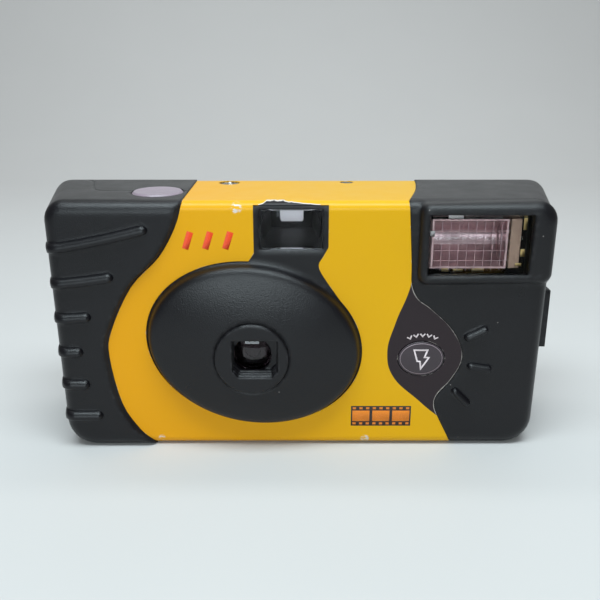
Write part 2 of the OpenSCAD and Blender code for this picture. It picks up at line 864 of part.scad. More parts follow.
module chamber(x, y, r) {
    difference() {
        post(x, y, r + chamber_t, floor_z, deck_z);
        post(x, y, r, floor_z - cut, deck_z + cut);
    }
}

module main_frame() {
    cart_top_hole = knob_r + 0.6;
    color("#2a2a2c") difference() {
        union() {
            // Front plate, gate plate, floor, deck and shelf
            box(lens_x - gate_w / 2, tunnel_right, plate_y, plate_y + plate_t, floor_z, deck_z);
            box(lens_x - gate_w / 2 - gate_land, roll_x - roll_room + 1.8, gate_y, gate_y + gate_t, floor_z,
                shelf_z + shelf_t);
            box(frame_left, roll_end, plate_y, gate_y + gate_t, floor_z, floor_z + floor_t);
            box(frame_left, tunnel_left + tunnel_wall, plate_y, gate_y + gate_t, deck_z, deck_top);
            box(tunnel_left, roll_end, plate_y, gate_y + gate_t, shelf_z, shelf_z + shelf_t);
            // Cartridge and roll chambers
            intersection() {
                chamber(cart_x, cart_y, chamber_r);
                box(frame_left + 1, lens_x, plate_y, gate_y, floor_z, deck_z);
            }
            intersection() {
                chamber(roll_x, roll_y, roll_room);
                box(lens_x, roll_x + 2 * roll_room, plate_y, gate_y + gate_t, floor_z, shelf_z);
            }
            // Viewfinder tunnel
            for (x = [tunnel_left, tunnel_right - tunnel_wall])
                box(x, x + tunnel_wall, plate_y, gate_y + gate_t, shelf_z, in_top - 0.3);
            // Wheel collar, posts and pins
            post(cart_x, cart_y, hub_r, deck_top - cut, deck_top + 1.6);
            post(striker_x, striker_y, 1.2, deck_top - cut, deck_top + 4);
            post(dial_x, dial_y, 1.8, deck_top - cut, dial_z - 0.15);
            post(dial_x, dial_y, 0.9, deck_top, dial_z + dial_t);
            box(lever_x - 1.2, lever_x + 1.2, ear_y, ear_y + ear_t, deck_top - cut, lever_z + ear_t);
            rod_y(lever_x, lever_z, pin_r, ear_y + cut, button_y + lever_half);
            rod_y(blade_pivot_x, blade_pivot_z, pin_r, blade_y - 0.2, plate_y + plate_t);
            post(lamp_x, lamp_y - 0.9, lamp_r + 0.9, shelf_z, shelf_z + shelf_t + 1.6);
        }
        // Picture gate and light hole
        box(lens_x - gate_w / 2, lens_x + gate_w / 2, gate_y - cut, y_film, lens_z - gate_h / 2,
            lens_z + gate_h / 2);
        rod_y(lens_x, lens_z, 4, plate_y - cut, plate_y + plate_t + cut);
        // Film chambers through the deck, shelf and floor
        post(cart_x, cart_y, chamber_r, floor_z + floor_t, deck_z);
        post(cart_x, cart_y, cart_top_hole, deck_z - cut, deck_top + wheel_t);
        post(roll_x, roll_y, roll_room, floor_z + floor_t, shelf_z);
        post(roll_x, roll_y, roll_pin_r + 0.1, floor_z - cut, shelf_z + 2 * shelf_t);
        // Room for the film lip and for the sprocket with its shaft
        box(cart_x, lens_x - gate_w / 2 - 2.5, gate_y - 0.6, y_film + cut, floor_z + floor_t, deck_z);
        post(sprocket_x, sprocket_y, sprocket_tip + 0.3, sprocket_z - 0.4, sprocket_z + 2);
        post(sprocket_x, sprocket_y, shaft_r + 0.06, sprocket_z, deck_top + cut);
        post(lamp_x, lamp_y - 0.9, lamp_r + 0.1, shelf_z + shelf_t, shelf_z + 2 * shelf_t + 2);
    }
}

module baffle_end(w, h, y) {
    box(lens_x - w / 2, lens_x + w / 2, y, y + 0.1, lens_z - h / 2, lens_z + h / 2);
}

module light_baffle() {
    skin = 0.8;
    front = plate_y + plate_t + 0.05;
    rear = gate_y - 0.15;
    color("#19181a") difference() {
        hull() {
            baffle_end(10 + 2 * skin, 8.6 + 2 * skin, front);
            baffle_end(gate_w + 2 * skin, gate_h + 2 * skin, rear);
        }
        hull() {
            baffle_end(10, 8.6, front - 0.1);
            baffle_end(gate_w, gate_h, rear + 0.1);
        }
    }
}

// Film

module cartridge_shell() {
    skin = 0.3;
    lip_x0 = cart_x + 4;
    lip_x1 = lens_x - gate_w / 2 - 2.6;
    color("#c9a227") difference() {
        union() {
            post(cart_x, cart_y, cart_r - 0.25, cart_bottom + 0.3, cart_bottom + cart_h - 0.3);
            box(lip_x0, lip_x1, y_film - 0.9, y_film + film_t + 0.9, cart_bottom + 2.5, cart_bottom + cart_h - 2.5);
        }
        post(cart_x, cart_y, cart_r - 0.25 - skin, cart_bottom - cut, cart_bottom + cart_h + cut);
        box(cart_x, lip_x1 + cut, y_film - 0.2, y_film + film_t + 0.2, cart_bottom + 3.5,
            cart_bottom + cart_h - 3.5);
    }
}

module cartridge_caps() {
    bore = 5.7;
    color("#8f9296") for (z = [cart_bottom, cart_bottom + cart_h - 0.3])
        difference() {
            post(cart_x, cart_y, cart_r, z, z + 0.3);
            post(cart_x, cart_y, bore, z - cut, z + cut);
        }
}

module cartridge_spool() {
    color("#2b2b2b") difference() {
        union() {
            post(cart_x, cart_y, knob_r, cart_bottom - 0.5, knob_top);
            for (z = [cart_bottom + 1, cart_bottom + cart_h - 2])
                post(cart_x, cart_y, cart_r - 1.2, z, z + 1);
        }
        post(cart_x, cart_y, 3.6, knob_top - 3.4, knob_top + cut);
        post(cart_x, cart_y, 3, cart_bottom - 1, cart_bottom + 4);
    }
}

module film_strip() {
    pitch = 4.75;
    x0 = cart_x + 6;
    x1 = roll_x;
    color("#6b4a3a") difference() {
        box(x0, x1, y_film, y_film + film_t, lens_z - film_w / 2, lens_z + film_w / 2);
        for (x = [x0 + pitch : pitch : x1 - pitch / 2], s = [-1, 1])
            box(x - 1, x + 1, y_film - cut, y_film + cut, lens_z + s * (film_w / 2 - 3.4) - 1.4,
                lens_z + s * (film_w / 2 - 3.4) + 1.4);
    }
}

module film_roll() {
    color("#5b4034") difference() {
        post(roll_x, roll_y, roll_r, lens_z - film_w / 2, lens_z + film_w / 2);
        post(roll_x, roll_y, core_r + 0.02, 0, body_h);
    }
}

module supply_spool() {
    color("#2b2b2b") union() {
        post(roll_x, roll_y, core_r, lens_z - film_w / 2 - core_over, lens_z + film_w / 2 + core_over);
        post(roll_x, roll_y, roll_pin_r, floor_z, shelf_z + shelf_t);
    }
}

module sprocket() {
    wheel = 1.4;
    cam_r = 2.4;
    cam_flat = 1.6;
    color("#ece8dc") union() {
        post(sprocket_x, sprocket_y, sprocket_r, sprocket_z, sprocket_z + wheel);
        for (i = [0 : sprocket_teeth - 1])
            rotate_about(sprocket_x, sprocket_y, 360 * i / sprocket_teeth)
                box(sprocket_x + sprocket_r - 1, sprocket_x + sprocket_tip, sprocket_y - 0.8, sprocket_y + 0.8,
                    sprocket_z + 0.1, sprocket_z + wheel - 0.1);
        post(sprocket_x, sprocket_y, shaft_r, sprocket_z + 0.3, dial_z - 1.2);
        // Cam that cocks the striker, and the finger that turns the counter
        difference() {
            post(sprocket_x, sprocket_y, cam_r, deck_top + 0.3, deck_top + 2);
            box(sprocket_x - cam_r, sprocket_x + cam_r, sprocket_y + cam_flat, sprocket_y + 2 * cam_r, deck_top,
                deck_top + 2 * cam_r);
        }
        post(sprocket_x, sprocket_y, 0.8, dial_z - 2, dial_z + dial_t);
        box(sprocket_x - 0.4, sprocket_x + 0.4, sprocket_y - finger_r, sprocket_y, dial_z + 0.1,
            dial_z + dial_t - 0.1);
    }
}

module counter_dial() {
    color("#f0efe8") difference() {
        post(dial_x, dial_y, dial_r, dial_z, dial_z + dial_t);
        for (i = [0 : dial_teeth - 1])
            rotate_about(dial_x, dial_y, 360 * i / dial_teeth)
                post(dial_x + dial_r, dial_y, 0.4, dial_z - cut, dial_z + dial_t + cut);
        post(dial_x, dial_y, 0.9 + 0.06, dial_z - cut, dial_z + dial_t + cut);
    }
}

// Windows

module counter_window() {
    color("#dfe6ea") union() {
        post(window_x, window_y, window_r, in_top, body_h - rim);
        post(window_x, window_y, window_r + 0.8, in_top - 0.6, in_top);
    }
}

module finder_lens() {
    hollow_r = 24;
    y0 = y_label + 0.5;
    color("#b8c6d2") difference() {
        union() {
            box(finder_x - finder_w / 2 + 0.05, finder_x + finder_w / 2 - 0.05, y0, in_front,
                finder_z - finder_h / 2 + 0.05, finder_z + finder_h / 2 - 0.05);
            box(finder_x - finder_w / 2 - 0.3, finder_x + finder_w / 2 + 0.8, in_front + 0.02, in_front + 0.9,
                finder_z - finder_h / 2 - 0.8, finder_z + finder_h / 2 + 0.2);
            box(finder_x - finder_w / 2 + 0.05, finder_x + finder_w / 2 - 0.05, y0, in_front + 0.9,
                finder_z - finder_h / 2 + 0.05, finder_z + finder_h / 2 - 0.05);
        }
        translate([finder_x, in_front + 0.9 + hollow_r - 1, finder_z]) sphere(r = hollow_r, $fn = fine);
    }
}

module finder_eyepiece() {
    curve_r = 30;
    color("#b8c6d2") union() {
        intersection() {
            plate_y(in_back - cut, y_back - rim - 0.2)
                translate([finder_x, finder_z]) rounded(eye_w, eye_h, 0.9);
            translate([finder_x, y_back - rim - 0.2 - curve_r, finder_z]) sphere(r = curve_r, $fn = fine);
        }
        plate_y(in_back - 0.8, in_back - 0.02)
            translate([finder_x, finder_z]) rounded(eye_w + 2, eye_h + 1.6, 0.9);
    }
}

module flash_window() {
    ridge = 1.7;
    ridges = floor(reflector_w / ridge);
    color("#dfe4e6") difference() {
        union() {
            box(flash_x - flash_w / 2 - pane_lap, flash_x + flash_w / 2 + pane_lap, pane_y, pane_y + pane_t,
                flash_z - flash_h / 2 - pane_lap / 2, flash_z + flash_h / 2 + pane_lap / 2);
            box(flash_x - flash_w / 2 + 0.1, flash_x + flash_w / 2 - 0.1, pane_y - 0.5, pane_y + pane_t,
                flash_z - flash_h / 2 + 0.1, flash_z + flash_h / 2 - 0.1);
        }
        // Rows of hollows behind the pane that spread the light
        for (i = [0 : ridges - 1])
            translate([reflector_x + ridge * (i + 0.5), pane_y + pane_t + 0.7, flash_z - reflector_h / 2])
                cylinder(h = reflector_h, r = 1.1);
    }
}

// Flash unit

// A trough whose section is a parabola with the tube near its focus
function trough(inset) = [for (i = [-10 : 10]) let (u = i / 10)
    [reflector_y + (reflector_d - inset) * (1 - u * u), flash_z + u * (reflector_h / 2 - inset)]];

module flash_reflector() {
    color("#d5d8da") difference() {
        plate_x(reflector_x, reflector_x + reflector_w) polygon(trough(0));
        plate_x(reflector_x + reflector_t, reflector_x + reflector_w - reflector_t)
            translate([-0.01, 0]) polygon(trough(reflector_t));
        rod_x(tube_y, flash_z, tube_r + 0.1, reflector_x - cut, reflector_x + reflector_w + cut);
    }
}

module flash_tube() {
    color("#e8edf0") union() {
        rod_x(tube_y, flash_z, tube_r, reflector_x - 0.8, reflector_x + reflector_w + 3.4);
        rod_x(tube_y, flash_z, 0.4, reflector_x - 1.6, reflector_x + reflector_w + 5);
    }
}

module tube_holder() {
    x0 = reflector_x + reflector_w + 0.6;
    color("#d8c8a4") difference() {
        box(x0, x0 + 2.4, reflector_y + 0.2, reflector_y + 8, flash_z - reflector_h / 2, flash_z + reflector_h / 2);
        rod_x(tube_y, flash_z, tube_r + 0.05, x0 - cut, x0 + 3);
    }
}

module circuit_board() {
    color("#8a6a3c") difference() {
        box(board_left, board_right, board_y, board_back, board_bottom, board_top);
        for (p = [[board_left + 2.5, board_bottom + 2.5], [board_right - 2.5, board_top - 2.5]])
            rod_y(p[0], p[1], 1, board_y - cut, board_back + cut);
    }
}

module board_components() {
    color("#b4552c") union() {
        for (i = [0 : 3])
            box(board_left + 3 + 4 * i, board_left + 5.2 + 4 * i, board_back, board_back + 1.6, board_bottom + 2,
                board_bottom + 8);
        box(board_right - 9, board_right - 4.4, board_back, board_back + 3, board_top - 9, board_top - 4.6);
    }
}

module main_capacitor() {
    low = board_bottom + 2;
    high = low + capacitor_h;
    lead = 0.3;
    color("#20242c") union() {
        post(capacitor_x, capacitor_y, capacitor_r, low, high);
        for (s = [-1, 1])
            box(capacitor_x + s * 2.5 - lead, capacitor_x + s * 2.5 + lead, board_back, capacitor_y + lead,
                high + 0.6, high + 1.2);
        for (s = [-1, 1])
            post(capacitor_x + s * 2.5, capacitor_y, lead, high - 1, high + 1.2);
    }
}

module step_up_transformer() {
    right = board_right - 1.2;
    left = right - transformer_w;
    low = board_bottom + 3;
    cheek = 1.4;
    core = 6.2;
    color("#c7a54a") union() {
        for (z = [low, low + cheek + core])
            box(left, right, board_back, board_back + transformer_d, z, z + cheek);
        post((left + right) / 2, board_back + transformer_d / 2, transformer_d / 2 - 0.3, low + 1, low + core + 2);
    }
}

module trigger_coil() {
    x = board_right - 8;
    low = board_bottom + 15;
    coil_r = 2.2;
    color("#1f3f6e") union() {
        post(x, board_back + coil_r + 0.2, coil_r, low, low + 9);
        for (z = [low, low + 8.2])
            box(x - coil_r, x + coil_r, board_back, board_back + 2 * coil_r + 0.4, z, z + 0.8);
    }
}

module switch_leaf() {
    color("#c9b06a") union() {
        box(flash_button_x - 4.6, flash_button_x + 2, board_y - 0.8, board_y - 0.55, flash_button_z - 1.2,
            flash_button_z + 1.2);
        box(flash_button_x - 4.6, flash_button_x - 4, board_y - 0.8, board_y, flash_button_z - 1.2,
            flash_button_z + 1.2);
    }
}

module sync_contacts() {
    color("#c9b06a") for (i = [0 : 1])
        box(lens_x + 4 + 3 * i, lens_x + 5.4 + 3 * i, plate_y - 0.3, plate_y, lens_z + 12, lens_z + 21);
}

module battery() {
    color("#8d7a3a") union() {
        post(battery_x, battery_y, battery_r, battery_z, battery_z + battery_h);
        post(battery_x, battery_y, 2.75, battery_z + battery_h - cut, battery_z + battery_h + nub_h);
    }
}

module positive_contact() {
    top = battery_z + battery_h + nub_h;
    front = battery_y - contact_half + 1;
    sheet = 0.4;
    color("#b9bcc0") union() {
        box(battery_x - contact_half, battery_x + contact_half, front, battery_y + contact_half - 1, top + 0.05,
            top + 0.05 + sheet);
        box(battery_x - contact_half, battery_x + contact_half, front - sheet, front, top - 0.6,
            top + 0.05 + sheet);
    }
}

module negative_contact() {
    wire = 0.25;
    color("#b9bcc0") union() {
        box(battery_x - contact_half, battery_x + contact_half - 1, battery_y - contact_half,
            battery_y + contact_half, in_bottom + 0.1, in_bottom + 0.5);
        translate([battery_x, battery_y, in_bottom + 0.5 + wire / 2])
            coil(3.6, 1.6, wire, 3, 1.8 - 0.5 - 1.6 * wire);
    }
}

module ready_lamp() {
    color("#e2733c") post(lamp_x, lamp_y - 0.9, lamp_r, shelf_z + shelf_t + 0.05, in_top - 3.2);
}

module light_pipe() {
    color("#e9d7cf") union() {
        post(lamp_x, lamp_y, pipe_r, in_top - 3, body_h - rim + 0.1);
        post(lamp_x, lamp_y, pipe_r + 0.8, in_top - 1, in_top - 0.05);
    }
}

front_cover();
back_cover();
wrap_label();
lens_hood();
taking_lens();
lens_stop();
shutter_blade();
striker_lever();
striker_spring();
release_lever();
button_spring();
shutter_button();
flash_button();
thumb_wheel();
main_frame();
light_baffle();
cartridge_shell();
cartridge_caps();
cartridge_spool();
film_strip();
film_roll();
supply_spool();
sprocket();
counter_dial();
counter_window();
finder_lens();
finder_eyepiece();
flash_window();
flash_reflector();
flash_tube();
tube_holder();
circuit_board();
board_components();
main_capacitor();
step_up_transformer();
trigger_coil();
switch_leaf();
sync_contacts();
battery();
positive_contact();
negative_contact();
ready_lamp();
light_pipe();
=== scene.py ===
"""Dresses the single-use film camera: a finish for every node, the printed marks, and a small studio.

Every length in the dataclasses is in millimetres in the part's own frame; meshes are written in metres.
"""
import logging
import math
from dataclasses import dataclass, replace
from enum import Enum
from typing import Callable, Sequence

import bpy
import numpy as np
from mathutils import Euler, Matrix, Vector


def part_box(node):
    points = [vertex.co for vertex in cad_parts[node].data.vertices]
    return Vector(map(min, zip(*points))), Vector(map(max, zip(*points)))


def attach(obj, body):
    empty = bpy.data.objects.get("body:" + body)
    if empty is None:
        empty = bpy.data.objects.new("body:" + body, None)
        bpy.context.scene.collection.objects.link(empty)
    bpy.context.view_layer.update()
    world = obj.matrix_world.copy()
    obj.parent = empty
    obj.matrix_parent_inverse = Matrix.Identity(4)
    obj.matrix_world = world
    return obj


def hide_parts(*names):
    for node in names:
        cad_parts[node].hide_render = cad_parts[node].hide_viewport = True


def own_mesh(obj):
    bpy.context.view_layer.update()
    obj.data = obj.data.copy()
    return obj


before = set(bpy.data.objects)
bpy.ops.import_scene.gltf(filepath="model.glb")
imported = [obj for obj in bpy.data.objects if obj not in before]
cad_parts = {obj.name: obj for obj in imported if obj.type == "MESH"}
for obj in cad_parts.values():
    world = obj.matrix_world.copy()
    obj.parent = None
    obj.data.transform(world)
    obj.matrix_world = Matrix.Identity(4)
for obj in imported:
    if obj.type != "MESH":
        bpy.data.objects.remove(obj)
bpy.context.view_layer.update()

MM = 0.001
LOG = logging.getLogger("camera")
Place = tuple[float, float, float]
Colour = tuple[float, float, float]
Points = Sequence[tuple[float, float]]
Socket = bpy.types.NodeSocket
Material = bpy.types.Material


class Body(Enum):
    """Bodies of the part that new pieces ride on."""

    CAMERA = "camera"
    FLASH_BUTTON = "flash_button"


def linear(red: int, green: int, blue: int) -> Colour:
    """Turns a screen colour of 0 to 255 into the linear colour that shaders use.

    Args:
        red, green, blue: the screen colour's shares.

    Returns:
        The linear colour.
    """
    shares = np.array([red, green, blue]) / 255.0
    low = shares / 12.92
    high = ((shares + 0.055) / 1.055) ** 2.4
    return tuple(float(v) for v in np.where(shares <= 0.04045, low, high))


class Shader:
    """A material's node tree round one Principled shader."""

    def __init__(self, name: str) -> None:
        """Makes an empty material of that name."""
        self.material = bpy.data.materials.new(name)
        self.material.use_nodes = True
        self.tree = self.material.node_tree
        self.main = self.tree.nodes["Principled BSDF"]
        metres = self.add("ShaderNodeTexCoord").outputs["Object"]
        scaled = self.add("ShaderNodeVectorMath", {0: metres, "Scale": 1.0 / MM}, operation="SCALE")
        self.place = scaled.outputs[0]
        self.x, self.y, self.z = self.add("ShaderNodeSeparateXYZ", {0: self.place}).outputs

    def add(self, kind: str, inputs: dict[object, object] | None = None,
            **settings: object) -> bpy.types.Node:
        """Adds a node.

        Args:
            kind: the node's type name.
            inputs: plain values or sockets by the input's name or number.
            settings: properties to set on the node.

        Returns:
            The new node.
        """
        node = self.tree.nodes.new(kind)
        for key, value in settings.items():
            setattr(node, key, value)
        for key, value in (inputs or {}).items():
            self.join(value, node.inputs[key])
        return node

    def join(self, source: object, target: Socket) -> None:
        """Links a socket to an input, or sets the input to a plain value."""
        if isinstance(source, Socket):
            self.tree.links.new(source, target)
        else:
            target.default_value = source

    def set(self, **values: object) -> "Shader":
        """Sets inputs of the Principled shader by name, with _ for a space, and returns this shader."""
        for key, value in values.items():
            if key.endswith("olor") or key.endswith("int"):
                value = (*value, 1.0) if isinstance(value, tuple) else value
            self.join(value, self.main.inputs[key.replace("_", " ")])
        return self

    def calc(self, operation: str, a: object, b: object = 0.0, c: object = 0.0) -> Socket:
        """One step of arithmetic on numbers or sockets.

        Args:
            operation: the Math node's operation.
            a, b, c: the values.

        Returns:
            The result's socket.
        """
        return self.add("ShaderNodeMath", {0: a, 1: b, 2: c}, operation=operation).outputs[0]

    def times(self, a: object, b: object) -> Socket:
        """The product of two numbers or sockets."""
        return self.calc("MULTIPLY", a, b)

    def step(self, value: object, start: float, end: float) -> Socket:
        """A smooth step: 0 where the value is at start, 1 where it is at end.

        Args:
            value: the socket to read.
            start, end: values that give 0 and 1.

        Returns:
            The step's socket.
        """
        inputs = {"Value": value, "From Min": start, "From Max": end}
        return self.add("ShaderNodeMapRange", inputs, interpolation_type="SMOOTHSTEP").outputs["Result"]

    def stretch(self, factors: Colour) -> Socket:
        """The place in millimetres with each axis times a factor, for stretched patterns."""
        return self.add("ShaderNodeVectorMath", {0: self.place, 1: factors}, operation="MULTIPLY").outputs[0]

    def noise(self, size: float, detail: float = 2.0, place: object = None) -> Socket:
        """Soft noise whose features are about size millimetres.

        Args:
            size: feature size in millimetres.
            detail: number of finer layers.
            place: coordinates to use instead of the plain place.

        Returns:
            The noise from 0 to 1.
        """
        inputs = {"Vector": place or self.place, "Scale": 1.0 / size, "Detail": detail}
        return self.add("ShaderNodeTexNoise", inputs).outputs["Fac"]

    def specks(self, spacing: float, radius: float, share: float) -> Socket:
        """Scattered round specks, such as dust.

        Args:
            spacing: mean distance in millimetres.
            radius: radius of the largest speck in millimetres.
            share: share of the cells that hold one.

        Returns:
            A mask that is 1 on the specks.
        """
        cells = self.add("ShaderNodeTexVoronoi", {"Vector": self.place, "Scale": 1.0 / spacing})
        chance = self.add("ShaderNodeSeparateColor", {0: cells.outputs["Color"]})
        reach = self.times(chance.outputs[1], radius / spacing)
        near = self.calc("LESS_THAN", cells.outputs["Distance"], reach)
        kept = self.calc("LESS_THAN", chance.outputs[0], share)
        return self.times(near, kept)

    def blend(self, share: object, a: object, b: object) -> Socket:
        """Mixes two colours.

        Args:
            share: how much of the second colour shows.
            a, b: the colours, tuples or sockets.

        Returns:
            The mixed colour's socket.
        """
        first, second = ((*value, 1.0) if isinstance(value, tuple) else value for value in (a, b))
        inputs = {"Factor": share, 6: first, 7: second}
        return self.add("ShaderNodeMix", inputs, data_type="RGBA").outputs[2]

    def curve(self, value: object, span: tuple[float, float], out: tuple[float, float],
              points: Points) -> Socket:
        """A smooth curve through a few points, such as an outline's x at each height.

        Args:
            value: the socket to read.
            span: lowest and highest value of the input.
            out: lowest and highest value of the result.
            points: (input, result) pairs in rising order of the input.

        Returns:
            The result's socket.
        """
        share = self.add("ShaderNodeMapRange", {"Value": value, "From Min": span[0], "From Max": span[1]})
        node = self.add("ShaderNodeFloatCurve", {"Value": share.outputs["Result"]})
        line = node.mapping.curves[0]
        places = [((a - span[0]) / (span[1] - span[0]), (b - out[0]) / (out[1] - out[0])) for a, b in points]
        line.points[0].location = places[0]
        line.points[-1].location = places[-1]
        for place in places[1:-1]:
            line.points.new(*place)
        node.mapping.update()
        return self.calc("MULTIPLY_ADD", node.outputs[0], out[1] - out[0], out[0])

    def round_edges(self, radius: float) -> Socket:
        """The surface's direction with edges rounded to a radius in millimetres."""
        return self.add("ShaderNodeBevel", {"Radius": radius * MM}, samples=6).outputs["Normal"]

    def edges(self, rounded: Socket) -> Socket:
        """A mask that is 1 where the direction from round_edges leaves the true one, at edges."""
        true = self.add("ShaderNodeNewGeometry").outputs["Normal"]
        dot = self.add("ShaderNodeVectorMath", {0: rounded, 1: true}, operation="DOT_PRODUCT")
        return self.step(dot.outputs["Value"], start=0.985, end=0.88)

    def bump(self, height: object, depth: float, under: object = None) -> Socket:
        """Turns a height from 0 to 1 into relief.

        Args:
            height: the height's socket.
            depth: relief in millimetres.
            under: direction of the surface below the relief.

        Returns:
            The surface direction's socket.
        """
        inputs = {"Strength": 1.0, "Distance": depth * MM, "Height": height}
        if under is not None:
            inputs["Normal"] = under
        return self.add("ShaderNodeBump", inputs).outputs["Normal"]


@dataclass(frozen=True)
class Moulded:
    """Moulded plastic with grain, faint mottling, dust and paler worn edges."""

    name: str
    colour: Colour
    worn: Colour
    roughness: float = 0.42
    grain: float = 0.35
    grain_depth: float = 0.012
    edge: float = 0.45
    dust: float = 0.0
    wear: float = 0.25
    shine: float = 0.5
    mottle_share: float = 0.5
    rubbed: Colour = linear(128, 126, 130)
    dust_colour: Colour = linear(168, 160, 158)
    dust_share: float = 0.55
    uneven: float = 0.16

    def material(self) -> Material:
        """Builds the material and returns it."""
        shader = Shader(self.name)
        mottle = shader.noise(size=9.0, detail=3.0)
        fine = shader.noise(size=self.grain, detail=1.0)
        base = shader.blend(shader.times(mottle, self.mottle_share), self.colour, self.worn)
        rounded = shader.round_edges(self.edge)
        patchy = shader.step(shader.noise(size=1.6, detail=4.0), start=0.45, end=0.75)
        bare = shader.times(shader.edges(rounded), patchy)
        base = shader.blend(shader.times(bare, self.wear), base, self.rubbed)
        if self.dust:
            specks = shader.specks(spacing=2.6, radius=0.16, share=self.dust)
            base = shader.blend(shader.times(specks, self.dust_share), base, self.dust_colour)
        cloud = shader.noise(size=5.0, detail=4.0)
        rough = shader.calc("MULTIPLY_ADD", cloud, self.uneven, self.roughness - self.uneven / 2)
        return shader.set(Base_Color=base, Roughness=rough, Specular_IOR_Level=self.shine,
                          Normal=shader.bump(fine, self.grain_depth, rounded)).material


@dataclass(frozen=True)
class Metal:
    """Bare or plated metal with drawn lines and stains."""

    name: str
    colour: Colour
    roughness: float = 0.28
    lines: Colour = (0.4, 4.0, 4.0)
    line_depth: float = 0.004

    def material(self) -> Material:
        """Builds the material and returns it."""
        shader = Shader(self.name)
        drawn = shader.noise(size=0.5, detail=3.0, place=shader.stretch(self.lines))
        stain = shader.step(shader.noise(size=2.5, detail=4.0), 0.4, 0.8)
        dull = tuple(0.6 * v for v in self.colour)
        base = shader.blend(shader.times(stain, 0.5), self.colour, dull)
        rough = shader.calc("MULTIPLY_ADD", stain, 0.2, self.roughness)
        return shader.set(Base_Color=base, Metallic=1.0, Roughness=rough,
                          Normal=shader.bump(drawn, self.line_depth)).material


@dataclass(frozen=True)
class Clear:
    """Clear plastic with a slight tint, moulding waves and hairline scratches."""

    name: str
    colour: Colour
    roughness: float = 0.02
    ior: float = 1.49
    glare: float = 1.0

    def material(self) -> Material:
        """Builds the material and returns it."""
        shader = Shader(self.name)
        hairs = shader.noise(size=0.8, detail=5.0, place=shader.stretch((3.0, 1.0, 0.3)))
        hairs = shader.step(hairs, start=0.6, end=0.75)
        rough = shader.calc("MULTIPLY_ADD", hairs, 0.05, self.roughness)
        return shader.set(Base_Color=self.colour, Transmission_Weight=1.0, IOR=self.ior, Roughness=rough,
                          Specular_Tint=(self.glare, self.glare, self.glare),
                          Normal=shader.bump(shader.noise(size=4.0, detail=1.0), 0.01)).material


@dataclass(frozen=True)
class Coated:
    """A lacquered, sleeved or printed surface with bands of a second colour."""

    name: str
    colour: Colour
    second: Colour
    band: float = 6.0
    share: float = 0.5
    roughness: float = 0.3
    metallic: float = 0.0

    def material(self) -> Material:
        """Builds the material and returns it."""
        shader = Shader(self.name)
        wave = shader.calc("FRACT", shader.calc("DIVIDE", shader.z, self.band))
        band = shader.step(wave, self.share - 0.02, self.share + 0.02)
        cloud = shader.noise(size=1.2, detail=4.0)
        base = shader.blend(band, self.colour, self.second)
        dark = tuple(0.7 * v for v in self.colour)
        base = shader.blend(shader.times(cloud, 0.3), base, dark)
        rough = shader.calc("MULTIPLY_ADD", cloud, 0.2, self.roughness - 0.1)
        return shader.set(Base_Color=base, Metallic=self.metallic, Roughness=rough,
                          Normal=shader.bump(shader.noise(size=0.3, detail=1.0), 0.006)).material


@dataclass(frozen=True)
class Wound:
    """Enamelled copper wire wound in fine level turns, with painted shade in the grooves between them."""

    name: str
    colour: Colour
    pitch: float = 0.16

    def material(self) -> Material:
        """Builds the material and returns it."""
        shader = Shader(self.name)
        turn = shader.calc("FRACT", shader.calc("DIVIDE", shader.z, self.pitch))
        ridge = shader.calc("SINE", shader.times(turn, math.pi))
        # Painted shade: the colour darkens to about a third of itself in the grooves between turns
        dark = tuple(0.35 * v for v in self.colour)
        base = shader.blend(ridge, dark, self.colour)
        return shader.set(Base_Color=base, Metallic=0.6, Roughness=0.3,
                          Normal=shader.bump(ridge, 0.05)).material


@dataclass(frozen=True)
class Ink:
    """Printing ink that lets a little of the paper's grain through."""

    name: str
    colour: Colour
    roughness: float = 0.35

    def material(self) -> Material:
        """Builds the material and returns it."""
        shader = Shader(self.name)
        thin = tuple(min(1.0, 1.25 * v + 0.01) for v in self.colour)
        base = shader.blend(shader.step(shader.noise(size=0.25, detail=3.0), 0.45, 0.8), self.colour, thin)
        rough = shader.calc("MULTIPLY_ADD", shader.noise(size=1.5, detail=3.0), 0.15, self.roughness)
        return shader.set(Base_Color=base, Roughness=rough).material


